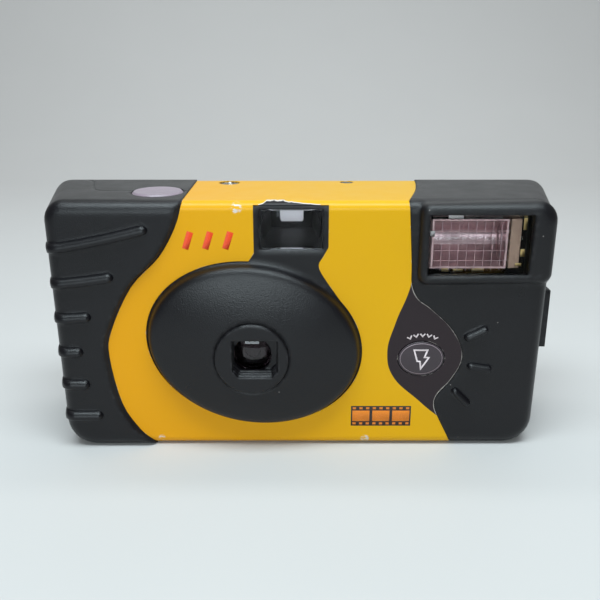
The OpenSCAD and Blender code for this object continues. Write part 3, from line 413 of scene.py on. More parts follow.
@dataclass(frozen=True)
class PrintedWrap:
    """Glossy printed paper: a warm yellow ground, a dark lobe on the right and pale worn edges."""

    name: str
    amber: Colour
    lemon: Colour
    lobe: Colour
    paper: Colour
    front: float
    # Right edge of the yellow print, as (height, x)
    print_edge: Points = ((-3, 44), (1, 42), (6.2, 37), (8.2, 33.9), (12.5, 28.9), (18.6, 22.7), (24.7, 21),
                          (32.6, 22.7), (40.4, 25.5), (47.7, 27), (62, 30))
    # Right edge of the paper, as (height, x)
    paper_edge: Points = ((-3, 39), (1, 37.6), (7.8, 34.3), (11, 33.2), (13.8, 33.7), (18.1, 37),
                          (23.9, 39.3), (30.4, 36.8), (36.2, 31), (38.5, 28), (42.2, 26.3), (47.7, 26),
                          (62, 25))
    # Span of heights and of x that both edges are drawn in
    heights: tuple[float, float] = (-3.0, 62.0)
    sides: tuple[float, float] = (-60.0, 60.0)
    # Half width of the blur at a printed or torn edge
    blur: float = 0.04
    rim_share: float = 0.55
    worn_share: float = 0.85
    # Scuffs down to the paper, as (x, height, radius)
    scuffs: Sequence[tuple[float, float, float]] = ((-14.4, 60.2, 1.5), (-34.5, 2.0, 1.0), (16.2, 1.7, 1.3))
    # Torn edge over the finder: left end, crest, right end, height where it starts, and its depth
    tear: tuple[float, float, float, float, float] = (-9.8, -6.8, 6.4, 60.8, 0.8)
    tear_rim: float = 0.16
    smudge: Colour = linear(92, 66, 20)

    def torn(self, shader: Shader, base: Socket, on_front: Socket) -> Socket:
        """Lays the torn edge over a colour: a pale rim of paper, and the dark plastic below it."""
        left, crest, right, start, deep = self.tear
        hump = shader.times(shader.step(shader.x, left, crest), shader.step(shader.x, right, crest))
        frayed = shader.noise(size=1.6, detail=4.0, place=shader.stretch((1.0, 0.0, 0.0)))
        frayed = shader.calc("MULTIPLY_ADD", frayed, 1.4, 0.3)
        ragged = shader.calc("MULTIPLY_ADD", shader.times(hump, frayed), deep, start)
        near = shader.times(shader.calc("GREATER_THAN", shader.z, start - 1.0), on_front)
        near = shader.times(near, shader.calc("GREATER_THAN", hump, 0.05))
        below = shader.calc("SUBTRACT", ragged, shader.z)
        plastic = tuple(0.4 * v for v in self.lobe)
        for rim, tone in ((self.tear_rim, self.paper), (0.0, plastic)):
            shown = shader.step(below, start=-rim - self.blur, end=self.blur - rim)
            base = shader.blend(shader.times(shown, near), base, tone)
        return base

    def material(self) -> Material:
        """Builds the material and returns it."""
        shader = Shader(self.name)
        on_front = shader.step(shader.y, start=self.front + 3.0, end=self.front + 2.0)
        inked = shader.curve(shader.z, self.heights, self.sides, self.print_edge)
        paper = shader.curve(shader.z, self.heights, self.sides, self.paper_edge)
        past_ink = shader.step(shader.calc("SUBTRACT", shader.x, inked), -self.blur, self.blur)
        lobe = shader.times(past_ink, on_front)
        # The ground runs from amber at the lower left to lemon at the upper right
        leaning = shader.calc("MULTIPLY_ADD", shader.z, 0.35, shader.x)
        ground = shader.blend(shader.step(leaning, start=-42.0, end=38.0), self.amber, self.lemon)
        ground = shader.blend(shader.times(shader.noise(size=14.0, detail=3.0), 0.22), ground, self.amber)
        light = tuple(1.7 * v for v in self.lobe)
        dark = shader.blend(shader.times(shader.noise(size=0.22, detail=1.0), 0.5), self.lobe, light)
        base = shader.blend(lobe, ground, dark)
        rim = shader.step(shader.calc("SUBTRACT", paper, shader.x), start=0.44, end=0.28)
        frayed = shader.step(shader.noise(size=0.9, detail=4.0), start=0.2, end=0.5)
        rim = shader.times(shader.times(rim, lobe), frayed)
        base = shader.blend(shader.times(rim, self.rim_share), base, self.paper)
        rounded = shader.round_edges(0.25)
        cracked = shader.step(shader.noise(size=1.4, detail=5.0), start=0.55, end=0.66)
        worn = shader.times(shader.edges(rounded), cracked)
        base = shader.blend(shader.times(worn, self.worn_share), base, self.paper)
        strokes = shader.noise(size=0.5, detail=3.0, place=shader.stretch((0.4, 1.0, 1.5)))
        strokes = shader.step(strokes, start=0.47, end=0.53)
        for x, z, radius in self.scuffs:
            far = shader.calc("POWER", shader.calc("SUBTRACT", shader.x, x), 2.0)
            far = shader.calc("ADD", far, shader.calc("POWER", shader.calc("SUBTRACT", shader.z, z), 2.0))
            spot = shader.step(shader.calc("SQRT", far), start=radius, end=0.6 * radius)
            base = shader.blend(shader.times(shader.times(spot, strokes), on_front), base, self.paper)
        base = self.torn(shader, base, on_front)
        smudges = shader.specks(spacing=7.0, radius=0.3, share=0.3)
        base = shader.blend(shader.times(smudges, 0.6), base, self.smudge)
        rough = shader.calc("MULTIPLY_ADD", shader.noise(size=6.0, detail=4.0), 0.2, 0.24)
        ripples = shader.noise(size=7.0, detail=2.0, place=shader.stretch((1.0, 0.5, 0.4)))
        relief = shader.bump(ripples, 0.25, rounded)
        relief = shader.bump(shader.noise(size=0.4, detail=2.0), 0.004, relief)
        return shader.set(Base_Color=base, Roughness=rough, Specular_IOR_Level=0.2, Coat_Weight=0.04,
                          Coat_Roughness=0.12, Normal=relief).material


class Paint(Enum):
    """Finishes that nodes are dressed in."""

    SHELL = Moulded("grained_black_plastic", linear(12, 11, 14), linear(20, 19, 23), roughness=0.31,
                    grain=0.36, grain_depth=0.028, edge=0.85, dust=0.22, wear=0.2, shine=0.34)
    COVER = replace(SHELL, name="soft_edged_black_plastic", grain=0.3, grain_depth=0.05, edge=2.0, wear=0.12)
    INNER = Moulded("inner_black_plastic", linear(14, 13, 15), linear(22, 21, 24), roughness=0.46, grain=0.4,
                    grain_depth=0.016, edge=0.3, wear=0.2, shine=0.22)
    WHEEL = Moulded("wheel_plastic", linear(27, 26, 28), linear(46, 45, 48), roughness=0.46, grain=0.3,
                    edge=0.3, dust=0.1, wear=0.45)
    BUTTON = Moulded("silver_button_plastic", linear(134, 119, 129), linear(152, 136, 147), roughness=0.34,
                     grain=0.25, grain_depth=0.006, edge=0.4, dust=0.05)
    KEY = Moulded("printed_key_film", linear(48, 39, 44), linear(66, 56, 62), roughness=0.24, grain=0.22,
                  grain_depth=0.004, edge=0.3, dust=0.08, wear=0.5)
    PALE = Moulded("pale_plastic", linear(222, 217, 203), linear(198, 192, 176), roughness=0.45, grain=0.4,
                   grain_depth=0.006, edge=0.25)
    LENS = Clear("lens_plastic", (0.84, 0.84, 0.88), roughness=0.01, glare=0.25)
    # The taking lens's dark pink tint is painted reflection of pink surroundings
    DEEP = Clear("taking_lens_plastic", (0.34, 0.25, 0.29), 0.02)
    PANE = Clear("window_plastic", (0.95, 0.96, 0.96), 0.02)
    PRISM = Clear("flash_window_plastic", (0.94, 0.93, 0.92), 0.02, 1.12)
    PIPE = Clear("light_pipe_plastic", (0.95, 0.8, 0.72), 0.12)
    TUBE = Clear("tube_glass", (0.93, 0.95, 0.97), 0.02, 1.47)
    LAMP = Clear("lamp_glass", (0.95, 0.55, 0.3), 0.05, 1.5)
    # The reflector's pink tint is painted reflection of pink surroundings
    MIRROR = Metal("reflector_metal", (0.6, 0.43, 0.45), 0.4, (0.1, 1.0, 1.0), 0.001)
    BLADE = Metal("blackened_blade_metal", (0.05, 0.045, 0.05), 0.4)
    STEEL = Metal("spring_steel", (0.56, 0.57, 0.59), 0.3)
    BRASS = Metal("contact_brass", (0.62, 0.47, 0.2), 0.3)
    CAP = Metal("cartridge_cap_metal", (0.42, 0.43, 0.46), 0.34)
    RUBBER = Moulded("tube_holder_rubber", linear(156, 130, 114), linear(136, 108, 92), roughness=0.6,
                     grain=0.3, grain_depth=0.01, edge=0.3)
    BOARD = Coated("board_laminate", linear(150, 112, 56), linear(128, 94, 46), 3.0, 0.8, 0.45)
    PARTS = Coated("lacquered_parts", linear(168, 84, 42), linear(52, 44, 40), 2.2, 0.75, 0.3)
    SLEEVE = Coated("capacitor_sleeve", linear(24, 30, 40), linear(86, 92, 100), 16.0, 0.92, 0.28)
    BATTERY = Coated("battery_sleeve", linear(38, 34, 32), linear(170, 128, 58), 52.0, 0.74, 0.26, 0.35)
    TIN = Coated("cartridge_print", linear(196, 152, 30), linear(40, 36, 34), 46.0, 0.8, 0.32, 0.4)
    FILM = Coated("film_base", linear(74, 48, 36), linear(84, 56, 42), 1.9, 0.6, 0.2)
    COIL = Wound("copper_winding", (0.55, 0.27, 0.09))
    # Pale lines for the window's moulded ridges: the pale colour is painted highlight where the clear ridges
    # catch light
    GRID_HIGHLIGHT = Ink("moulded_grid_lines", linear(164, 142, 146), 0.2)
    RED_INK = Ink("red_ink", linear(222, 70, 30))
    DARK_INK = Ink("dark_ink", linear(44, 34, 30))
    WARM_INK = Ink("warm_ink", linear(232, 130, 24))
    PALE_INK = Ink("pale_ink", linear(214, 200, 202))
    DIM_INK = Ink("dim_ink", linear(138, 122, 128))


# Gives a carrying face's y for an array of (x, z)
Face = Callable[[np.ndarray], np.ndarray]


def quads_of(rows: int, columns: int, ring: bool = False) -> np.ndarray:
    """Corner numbers of a grid's quads.

    Args:
        rows: number of rows.
        columns: number of columns.
        ring: True where the last row joins the first.

    Returns:
        Four numbers for each quad.
    """
    index = np.arange(rows * columns).reshape(rows, columns)
    index = np.vstack([index, index[:1]]) if ring else index
    corners = (index[:-1, :-1], index[:-1, 1:], index[1:, 1:], index[1:, :-1])
    return np.stack(corners, axis=-1).reshape(-1, 4)


def drawn_in(grid: np.ndarray) -> np.ndarray:
    """Closes a grid's first and last row: adds a row at each that lies on the middle of that row's points."""
    rows = (grid[:1], grid[-1:])
    start, end = (np.repeat(row[:, :-1].mean(axis=1, keepdims=True), grid.shape[1], axis=1) for row in rows)
    return np.concatenate([start, grid, end])


def flat_face(y: float) -> Face:
    """A carrying face with the same y everywhere."""
    return lambda flat: np.full(len(flat), y)


def put_in(name: str, data: bpy.types.ID) -> bpy.types.Object:
    """Makes an object of a name from its data, links it into the scene and returns it."""
    made = bpy.data.objects.new(name, data)
    bpy.context.scene.collection.objects.link(made)
    return made


def grid_mesh(name: str, points: np.ndarray, material: Material, ring: bool = False) -> bpy.types.Mesh:
    """Makes a smooth mesh of quads from a grid, with name, points and ring as in Workshop.surface."""
    rows, columns = points.shape[:2]
    quads = quads_of(rows, columns, ring)
    mesh = bpy.data.meshes.new(name)
    mesh.vertices.add(rows * columns)
    mesh.vertices.foreach_set("co", (points * MM).astype(np.float32).ravel())
    mesh.loops.add(quads.size)
    mesh.loops.foreach_set("vertex_index", quads.astype(np.int32).ravel())
    mesh.polygons.add(len(quads))
    mesh.polygons.foreach_set("loop_start", np.arange(0, quads.size, 4, dtype=np.int32))
    mesh.update(calc_edges=True)
    mesh.validate()
    mesh.polygons.foreach_set("use_smooth", np.ones(len(mesh.polygons), bool))
    mesh.materials.append(material)
    return mesh


class Workshop:
    """Keeps one material of each finish and puts meshes into the scene."""

    def __init__(self) -> None:
        """Starts with no materials made."""
        self.made: dict[str, Material] = {}

    def finish(self, finish: object) -> Material:
        """The material of a finish, made the first time it is asked for.

        Args:
            finish: a Paint member or a finish of its own.

        Returns:
            The material.
        """
        finish = finish.value if isinstance(finish, Paint) else finish
        if finish.name not in self.made:
            self.made[finish.name] = finish.material()
        return self.made[finish.name]

    def dress(self, node: str, finish: object) -> None:
        """Gives a CAD node a finish."""
        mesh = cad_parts[node].data
        mesh.materials.clear()
        mesh.materials.append(self.finish(finish))
        LOG.info("dressed %s", node)

    def surface(self, name: str, points: np.ndarray, finish: object, body: Body,
                ring: bool = False) -> bpy.types.Object:
        """Puts a grid of points into the scene as a surface of quads.

        Args:
            name: the piece's name.
            points: array of rows, columns and xyz in millimetres.
            finish: its finish.
            body: body that it rides on.
            ring: True where the last row joins the first.

        Returns:
            The new object.
        """
        piece = put_in(name, grid_mesh(name, points, self.finish(finish), ring))
        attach(piece, body.value)
        LOG.info("built %s, %d quads", name, len(piece.data.polygons))
        return piece


def box_of(node: str) -> tuple[np.ndarray, np.ndarray]:
    """Lowest and highest corner of a CAD node in millimetres."""
    low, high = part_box(node)
    return np.array(low) / MM, np.array(high) / MM


def along(corners: np.ndarray, steps: int) -> np.ndarray:
    """Splits each side of a closed outline into equal steps.

    Args:
        corners: the outline's corners.
        steps: number of steps on each side.

    Returns:
        The points from corner to corner, without the repeated first.
    """
    share = np.linspace(0, 1, steps + 1)[:-1, None]
    ahead = np.roll(corners, -1, axis=0)
    return (corners[:, None] * (1 - share) + ahead[:, None] * share).reshape(-1, 2)


@dataclass
class PrintedMark:
    """A thin printed mark: a stroke of constant width carried along a path, laid on a carrying face."""

    name: str
    path: np.ndarray
    width: float
    closed: bool = False
    thickness: float = 0.02
    sink: float = 0.01
    least_cosine: float = 0.4

    def edges(self) -> tuple[np.ndarray, np.ndarray]:
        """The stroke's two edges.

        Each point moves by half the width along the mean of its two neighbouring segments' side directions,
        lengthened by one over the cosine of half the turn, so the stroke keeps its width at corners.

        Returns:
            Points of the left and the right edge.
        """
        path = self.path
        ahead = np.roll(path, -1, axis=0) - path
        if not self.closed:
            ahead[-1] = ahead[-2]
        ahead /= np.linalg.norm(ahead, axis=1, keepdims=True)
        behind = np.roll(ahead, 1, axis=0)
        if not self.closed:
            behind[0] = ahead[0]
        side = np.stack([-ahead[:, 1], ahead[:, 0]], axis=1)
        side_before = np.stack([-behind[:, 1], behind[:, 0]], axis=1)
        mean = side + side_before
        mean /= np.linalg.norm(mean, axis=1, keepdims=True)
        reach = self.width / 2 / np.maximum(self.least_cosine, np.sum(mean * side, axis=1, keepdims=True))
        return path + mean * reach, path - mean * reach

    def points(self, depth: Face) -> np.ndarray:
        """The closed thin plate as a grid: four corners round each path point, two in front and two behind.

        Args:
            depth: the carrying face.

        Returns:
            Grid of rows along the path and five columns, the last as the first; an open stroke's end rows
            draw in to a point, which closes its ends.
        """
        left, right = self.edges()
        corners = []
        top, foot = self.thickness, -self.sink
        for flat, lift in ((left, top), (right, top), (right, foot), (left, foot), (left, top)):
            corners.append(np.stack([flat[:, 0], depth(flat) - lift, flat[:, 1]], axis=1))
        grid = np.stack(corners, axis=1)
        if self.closed:
            return grid
        return drawn_in(grid)

    def build(self, workshop: Workshop, depth: Face, finish: object, body: Body,
              slot: str) -> bpy.types.Object:
        """Puts the mark into the scene.

        Args:
            workshop: makes meshes and materials.
            depth: the carrying face.
            finish: the mark's ink.
            body: body that carries it.
            slot: not used.

        Returns:
            The new object.
        """
        return workshop.surface(self.name, self.points(depth), finish, body, self.closed)


@dataclass
class Ridge:
    """A ridge moulded on a face that looks forward, with a gentle slope above and a steep one below."""

    name: str
    path: np.ndarray
    upper: float
    lower: float
    height: float
    rounded_start: bool = True
    upper_power: float = 1.8
    lower_power: float = 4.0
    sink: float = 0.1
    columns: int = 33

    def points(self, depth: Face) -> np.ndarray:
        """Two quarter superellipses carried along the path, shrinking like a quarter circle at rounded ends.

        Args:
            depth: the carrying face.

        Returns:
            Grid of rows along the path and columns over the ridge.
        """
        steps = np.diff(self.path, axis=0)
        run = np.concatenate([[0.0], np.cumsum(np.linalg.norm(steps, axis=1))])
        left = np.minimum(run, run[-1] - run) if self.rounded_start else run[-1] - run
        size = np.sqrt(1 - (1 - np.minimum(2 * left / (self.upper + self.lower), 1)) ** 2)[:, None]
        ahead = np.gradient(self.path, axis=0)
        ahead /= np.linalg.norm(ahead, axis=1, keepdims=True)
        turn = np.linspace(0, math.pi, self.columns)
        above = turn < math.pi / 2
        power = 2 / np.where(above, self.upper_power, self.lower_power)
        wide = np.where(above, self.upper, -self.lower)
        across = np.abs(np.cos(turn)) ** power * wide
        out = np.abs(np.sin(turn)) ** power * (self.height + self.sink)
        x = self.path[:, :1] - ahead[:, 1:] * across * size
        z = self.path[:, 1:] + ahead[:, :1] * across * size
        y = depth(self.path)[:, None] + self.sink - out * size
        return np.stack([x, y, z], axis=-1)


class SubAssembly:
    """Nodes that are dressed together, with new pieces where a sub-assembly has any."""

    nodes: dict[str, Paint]

    def build(self, workshop: Workshop) -> None:
        """Adds the sub-assembly's new pieces; most have none."""

    def dress(self, workshop: Workshop) -> None:
        """Gives each node its finish."""
        for node, paint in self.nodes.items():
            workshop.dress(node, paint)


@dataclass
class Shell(SubAssembly):
    """The two halves of the black body, with the rounded crowns of the grip's ribs and of the rays."""

    grip_y: float = -14.65
    panel_y: float = -13.55
    side_low: float = -57.85
    side_high: float = -58.5
    high: float = 62.0
    fillet: float = 3.0
    rib_upper: float = 1.4
    rib_lower: float = 0.95
    ray_upper: float = 1.0
    ray_lower: float = 0.7
    proud: float = 1.45
    rib_first: float = 8.8
    rib_step: float = 8.3
    rib_rise: float = 4.9
    rib_start: float = -64.5
    rib_inset: float = 0.06
    # How steeply the rise grows from rib to rib, and along a rib
    rise_power: float = 4.0
    bend_power: float = 1.5
    rib_steps: int = 72
    ray_steps: int = 48
    # Where each rib ends beside the label, from the lowest to the highest
    rib_ends: Sequence[float] = (-49.7, -52.2, -53.15, -50.55, -44.55, -36.0)
    ray_middle: tuple[float, float] = (29.2, 23.5)
    ray_in: float = 11.6
    ray_out: float = 17.0
    ray_past: float = 0.35
    ray_turns: Sequence[float] = (27.0, -9.0, -45.0)
    nodes = {"front_cover": Paint.COVER, "back_cover": Paint.SHELL}

    def side(self, z: object) -> object:
        """The body's left side at a height, which leans out a little towards the top."""
        return self.side_low + (self.side_high - self.side_low) * z / self.high

    def grip_face(self, flat: np.ndarray) -> np.ndarray:
        """The grip's face: flat, and a quarter circle round to the left side."""
        past = np.clip(self.side(flat[:, 1]) + self.fillet - flat[:, 0], 0, self.fillet)
        return self.grip_y + self.fillet - np.sqrt(self.fillet ** 2 - past ** 2)

    def build(self, workshop: Workshop) -> None:
        """Builds six crowns on the grip, the upper ones rising to the right, and three on the rays."""
        for i, end in enumerate(self.rib_ends):
            low = self.rib_first + self.rib_step * i
            rise = self.rib_rise * (i / (len(self.rib_ends) - 1)) ** self.rise_power
            start = self.side(low) + self.rib_inset
            run = np.sin(np.linspace(0, math.pi / 2, self.rib_steps))
            x = start + (end + self.rib_upper - start) * run
            z = low + rise * ((x - self.rib_start) / (end - self.rib_start)) ** self.bend_power
            ridge = Ridge(f"rib_crown_{i + 1}", np.stack([x, z], axis=1), self.rib_upper, self.rib_lower,
                          self.proud, rounded_start=False)
            self.place(workshop, ridge, self.grip_face)
        reach = (1 - np.cos(np.linspace(0, math.pi, self.ray_steps))) / 2
        first = self.ray_in - self.ray_past
        length = self.ray_out - self.ray_in + 2 * self.ray_past
        for i, turn in enumerate(self.ray_turns):
            way = np.array([math.cos(math.radians(turn)), math.sin(math.radians(turn))])
            path = np.array(self.ray_middle) + (first + length * reach)[:, None] * way
            ridge = Ridge(f"ray_crown_{i + 1}", path, self.ray_upper, self.ray_lower, self.proud)
            self.place(workshop, ridge, flat_face(self.panel_y))

    def place(self, workshop: Workshop, ridge: Ridge, face: Face) -> None:
        """Puts a ridge on a face of the shell."""
        workshop.surface(ridge.name, ridge.points(face), Paint.SHELL, Body.CAMERA)


@dataclass
class LabelWrap(SubAssembly):
    """The printed paper wrap and its marks."""

    stripe_left: float = -26.4
    stripe_low: float = 50.7
    stripe_high: float = 54.7
    stripe_width: float = 1.5
    stripe_step: float = 4.6
    stripe_lean: float = 1.3
    stripes: int = 3
    strip_left: float = 12.6
    strip_right: float = 27.4
    strip_mid: float = 8.1
    strip_height: float = 5.4
    second_ink: float = 0.03
    frames: int = 3
    frame_gap: float = 0.35
    frame_height: float = 2.9
    holes: int = 9
    hole_wide: float = 0.8
    hole_high: float = 0.55
    hole_row: float = 2.08
    hints: int = 5
    hint_x: float = 29.3
    hint_z: float = 29.5
    hint_arc: float = 7.5
    hint_spread: float = 24.0
    hint_half: float = 0.6
    hint_rise: float = 0.35
    hint_line: float = 0.32

    def mark(self, workshop: Workshop, mark: PrintedMark, ink: Paint) -> None:
        """Prints a mark on the paper's front."""
        mark.build(workshop, flat_face(box_of("wrap_label")[0][1]), ink, Body.CAMERA, "label")

    def bar(self, name: str, left: float, right: float, mid: float, height: float,
            lift: float = 0.02) -> PrintedMark:
        """A level bar from left to right at a height."""
        return PrintedMark(name, np.array([[left, mid], [right, mid]]), height, thickness=lift)

    def build(self, workshop: Workshop) -> None:
        """Builds the stripes, the strip of film and the arc of small arrowheads."""
        for i in range(self.stripes):
            x = self.stripe_left + i * self.stripe_step
            path = np.array([[x, self.stripe_low], [x + self.stripe_lean, self.stripe_high]])
            self.mark(workshop, PrintedMark(f"red_stripe_{i + 1}", path, self.stripe_width), Paint.RED_INK)
        mid = self.strip_mid
        band = self.bar("film_mark_band", self.strip_left, self.strip_right, mid, self.strip_height)
        self.mark(workshop, band, Paint.DARK_INK)
        frame_step = (self.strip_right - self.strip_left) / self.frames
        for i in range(self.frames):
            left = self.strip_left + i * frame_step + self.frame_gap
            right = self.strip_left + (i + 1) * frame_step - self.frame_gap
            picture = self.bar(f"film_mark_frame_{i + 1}", left, right, mid, self.frame_height,
                               self.second_ink)
            self.mark(workshop, picture, Paint.WARM_INK)
        hole_step = (self.strip_right - self.strip_left) / self.holes
        for row, height in (("top", mid + self.hole_row), ("low", mid - self.hole_row)):
            for i in range(self.holes):
                left = self.strip_left + (i + 0.5) * hole_step - self.hole_wide / 2
                hole = self.bar(f"film_mark_hole_{row}_{i + 1}", left, left + self.hole_wide, height,
                                self.hole_high, self.second_ink)
                self.mark(workshop, hole, Paint.WARM_INK)
        for i, turn in enumerate(np.radians(np.linspace(-self.hint_spread, self.hint_spread, self.hints))):
            side = self.hint_half * np.array([math.cos(turn), -math.sin(turn)])
            out = np.array([math.sin(turn), math.cos(turn)])
            middle = np.array([self.hint_x, self.hint_z - self.hint_arc]) + out * self.hint_arc
            rise = self.hint_rise * out
            path = np.stack([middle - side + rise, middle - rise, middle + side + rise])
            self.mark(workshop, PrintedMark(f"press_hint_{i + 1}", path, self.hint_line), Paint.PALE_INK)

    def dress(self, workshop: Workshop) -> None:
        """Dresses the paper."""
        front = float(box_of("wrap_label")[0][1])
        wrap = PrintedWrap("printed_paper_wrap", amber=linear(219, 151, 6), lemon=linear(211, 160, 3),
                           lobe=linear(38, 30, 33), paper=linear(206, 198, 190), front=front)
        workshop.dress("wrap_label", wrap)


@dataclass
class LensUnit(SubAssembly):
    """Lens, its hood and the simple shutter behind it."""

    nodes = {
        "lens_hood": Paint.SHELL, "taking_lens": Paint.DEEP, "lens_stop": Paint.INNER,
        "shutter_blade": Paint.BLADE, "striker_lever": Paint.PALE, "striker_spring": Paint.STEEL,
        "release_lever": Paint.PALE, "light_baffle": Paint.INNER}


@dataclass
class FlashUnit(SubAssembly):
    """Flash window with its moulded grid drawn as pale lines of painted highlight, reflector with its clips,
    tube, and the charging key.
    """

    key_x: float = 29.2
    key_z: float = 23.5
    key_wide: float = 11.0
    key_high: float = 8.7
    dome: float = 24.0
    crown: float = -14.05
    bolt: Points = ((-1.8, 2.3), (1.4, 2.3), (0.7, 0.5), (1.75, 0.4), (-0.05, -2.5), (-0.3, -0.6),
                    (-1.0, -0.5))
    bolt_steps: int = 10
    bolt_line: float = 0.38
    rim_inset: float = 0.45
    rim_steps: int = 96
    rim_line: float = 0.13
    grid_columns: int = 9
    grid_rows: int = 5
    grid_line: float = 0.09
    clip_thick: float = 0.1
    clip_gap: float = 0.15
    # Clips that hold the reflector, as (x of the middle, height of the middle, width, height)
    steel_clips: Sequence[tuple[float, float, float, float]] = (
        (35.4, 58.2, 3.4, 0.8), (30.2, 54.3, 1.2, 1.3))
    brass_clips: Sequence[tuple[float, float, float, float]] = (
        (33.6, 45.7, 1.6, 0.7), (36.6, 45.6, 2.2, 0.6), (41.2, 45.7, 2.8, 0.7), (51.3, 56.6, 0.8, 2.8),
        (51.2, 49.8, 1.0, 1.8), (50.4, 47.0, 1.4, 0.7))
    nodes = {
        "flash_button": Paint.KEY, "flash_reflector": Paint.MIRROR, "flash_tube": Paint.TUBE,
        "tube_holder": Paint.RUBBER, "flash_window": Paint.PRISM}

    def face(self, flat: np.ndarray) -> np.ndarray:
        """The key's crown: a sphere that touches the key's foremost point."""
        reach = np.sum((flat - np.array([self.key_x, self.key_z])) ** 2, axis=1)
        return self.crown + self.dome - np.sqrt(self.dome ** 2 - reach)

    def build_window(self, workshop: Workshop) -> None:
        """Builds the grid of painted highlight lines on the window's face, and the clips between window and
        reflector.
        """
        pane_low, pane_high = box_of("flash_window")
        low, high = box_of("flash_reflector")
        columns = np.linspace(low[0], high[0], self.grid_columns + 1)[1:-1]
        rows = np.linspace(low[2], high[2], self.grid_rows + 1)[1:-1]
        lines = [(f"grid_upright_{i + 1}", ((x, low[2]), (x, high[2]))) for i, x in enumerate(columns)]
        lines += [(f"grid_row_{i + 1}", ((low[0], z), (high[0], z))) for i, z in enumerate(rows)]
        for name, path in lines:
            PrintedMark(name, np.array(path), self.grid_line).build(
                workshop, flat_face(pane_low[1]), Paint.GRID_HIGHLIGHT, Body.CAMERA, "clear_plastic")
        behind = flat_face(pane_high[1] + self.clip_gap)
        kinds = (("steel", Paint.STEEL, self.steel_clips), ("brass", Paint.BRASS, self.brass_clips))
        for name, paint, clips in kinds:
            for i, (x, z, wide, tall) in enumerate(clips):
                path = np.array([[x - wide / 2, z], [x + wide / 2, z]])
                PrintedMark(f"{name}_clip_{i + 1}", path, tall, thickness=self.clip_thick).build(
                    workshop, behind, paint, Body.CAMERA, name)

    def build(self, workshop: Workshop) -> None:
        """Builds the window's details, the bolt's outline and the pale line round the key."""
        self.build_window(workshop)
        middle = np.array([self.key_x, self.key_z])
        corners = along(middle + np.array(self.bolt), self.bolt_steps)
        PrintedMark("bolt_mark", corners, self.bolt_line, True).build(
            workshop, self.face, Paint.PALE_INK, Body.FLASH_BUTTON, "flash_key")
        turn = np.linspace(0, 2 * math.pi, self.rim_steps + 1)[:-1]
        half = np.array([self.key_wide, self.key_high]) / 2 - self.rim_inset
        ring = middle + np.stack([np.cos(turn), np.sin(turn)], axis=1) * half
        PrintedMark("key_rim_line", ring, self.rim_line, True).build(
            workshop, self.face, Paint.DIM_INK, Body.FLASH_BUTTON, "flash_key")


@dataclass
class Controls(SubAssembly):
    """Shutter button, its spring, the thumb wheel and the counter."""

    spring_x: float = -25.2
    spring_y: float = -2.9
    spring_foot: float = 52.2
    spring_rise: float = 4.0
    spring_radius: float = 0.9
    wire: float = 0.17
    turns: int = 6
    steps_a_turn: int = 24
    wire_sides: int = 8
    foot_gap: float = 0.02
    # Share of the spring's height that is left when the button is down
    pressed: float = 0.7
    nodes = {
        "shutter_button": Paint.BUTTON, "thumb_wheel": Paint.WHEEL, "counter_dial": Paint.PALE,
        "counter_window": Paint.PANE, "sprocket": Paint.PALE}

    def helix(self) -> np.ndarray:
        """The spring's wire: a circle carried along a line that turns and climbs evenly, its ends drawn in.

        Returns:
            Grid of rows along the wire and columns round it.
        """
        turn = np.linspace(0, 2 * math.pi * self.turns, self.steps_a_turn * self.turns + 1)[:, None]
        round_wire = np.linspace(0, -2 * math.pi, self.wire_sides + 1)[None, :]
        away = self.spring_radius + self.wire * np.cos(round_wire)
        x = self.spring_x + away * np.cos(turn)
        y = self.spring_y + away * np.sin(turn)
        climb = self.spring_rise * turn / turn[-1]
        z = self.spring_foot + self.wire + self.foot_gap + climb + self.wire * np.sin(round_wire)
        return drawn_in(np.stack([x, y, z], axis=-1))

    def build(self, workshop: Workshop) -> None:
        """Builds the spring under the release lever and hides the CAD spring."""
        spring = workshop.surface("pressed_spring", self.helix(), Paint.STEEL, Body.CAMERA)
        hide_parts("button_spring")
        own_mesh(spring)


@dataclass
class Finder(SubAssembly):
    """The two clear lenses of the viewfinder and the lamp's light pipe."""

    nodes = {
        "finder_lens": Paint.LENS, "finder_eyepiece": Paint.LENS, "ready_lamp": Paint.LAMP,
        "light_pipe": Paint.PIPE}


@dataclass
class Insides(SubAssembly):
    """Frame, film, battery and flash board."""

    nodes = {
        "main_frame": Paint.INNER, "cartridge_shell": Paint.TIN, "cartridge_caps": Paint.CAP,
        "cartridge_spool": Paint.INNER, "film_strip": Paint.FILM, "film_roll": Paint.FILM,
        "supply_spool": Paint.INNER, "circuit_board": Paint.BOARD, "board_components": Paint.PARTS,
        "main_capacitor": Paint.SLEEVE, "step_up_transformer": Paint.COIL, "trigger_coil": Paint.COIL,
        "switch_leaf": Paint.BRASS, "sync_contacts": Paint.BRASS, "battery": Paint.BATTERY,
        "positive_contact": Paint.STEEL, "negative_contact": Paint.STEEL}


@dataclass
class Lamp:
    """One soft rectangular lamp, with place and aim in millimetres."""

    name: str
    place: Place
    aim: Place
    wide: float
    high: float
    power: float
    colour: Colour = (0.92, 0.98, 1.0)

    def build(self) -> None:
        """Puts the lamp into the scene, turned to its aim."""
        data = bpy.data.lights.new(self.name, "AREA")
        data.color = self.colour
        data.shape = "RECTANGLE"
        data.size, data.size_y = self.wide * MM, self.high * MM
        data.energy = self.power
        lamp = put_in(self.name, data)
        lamp.location = Vector(self.place) * MM
        lamp.rotation_euler = (Vector(self.aim) - Vector(self.place)).to_track_quat("-Z", "Y").to_euler()


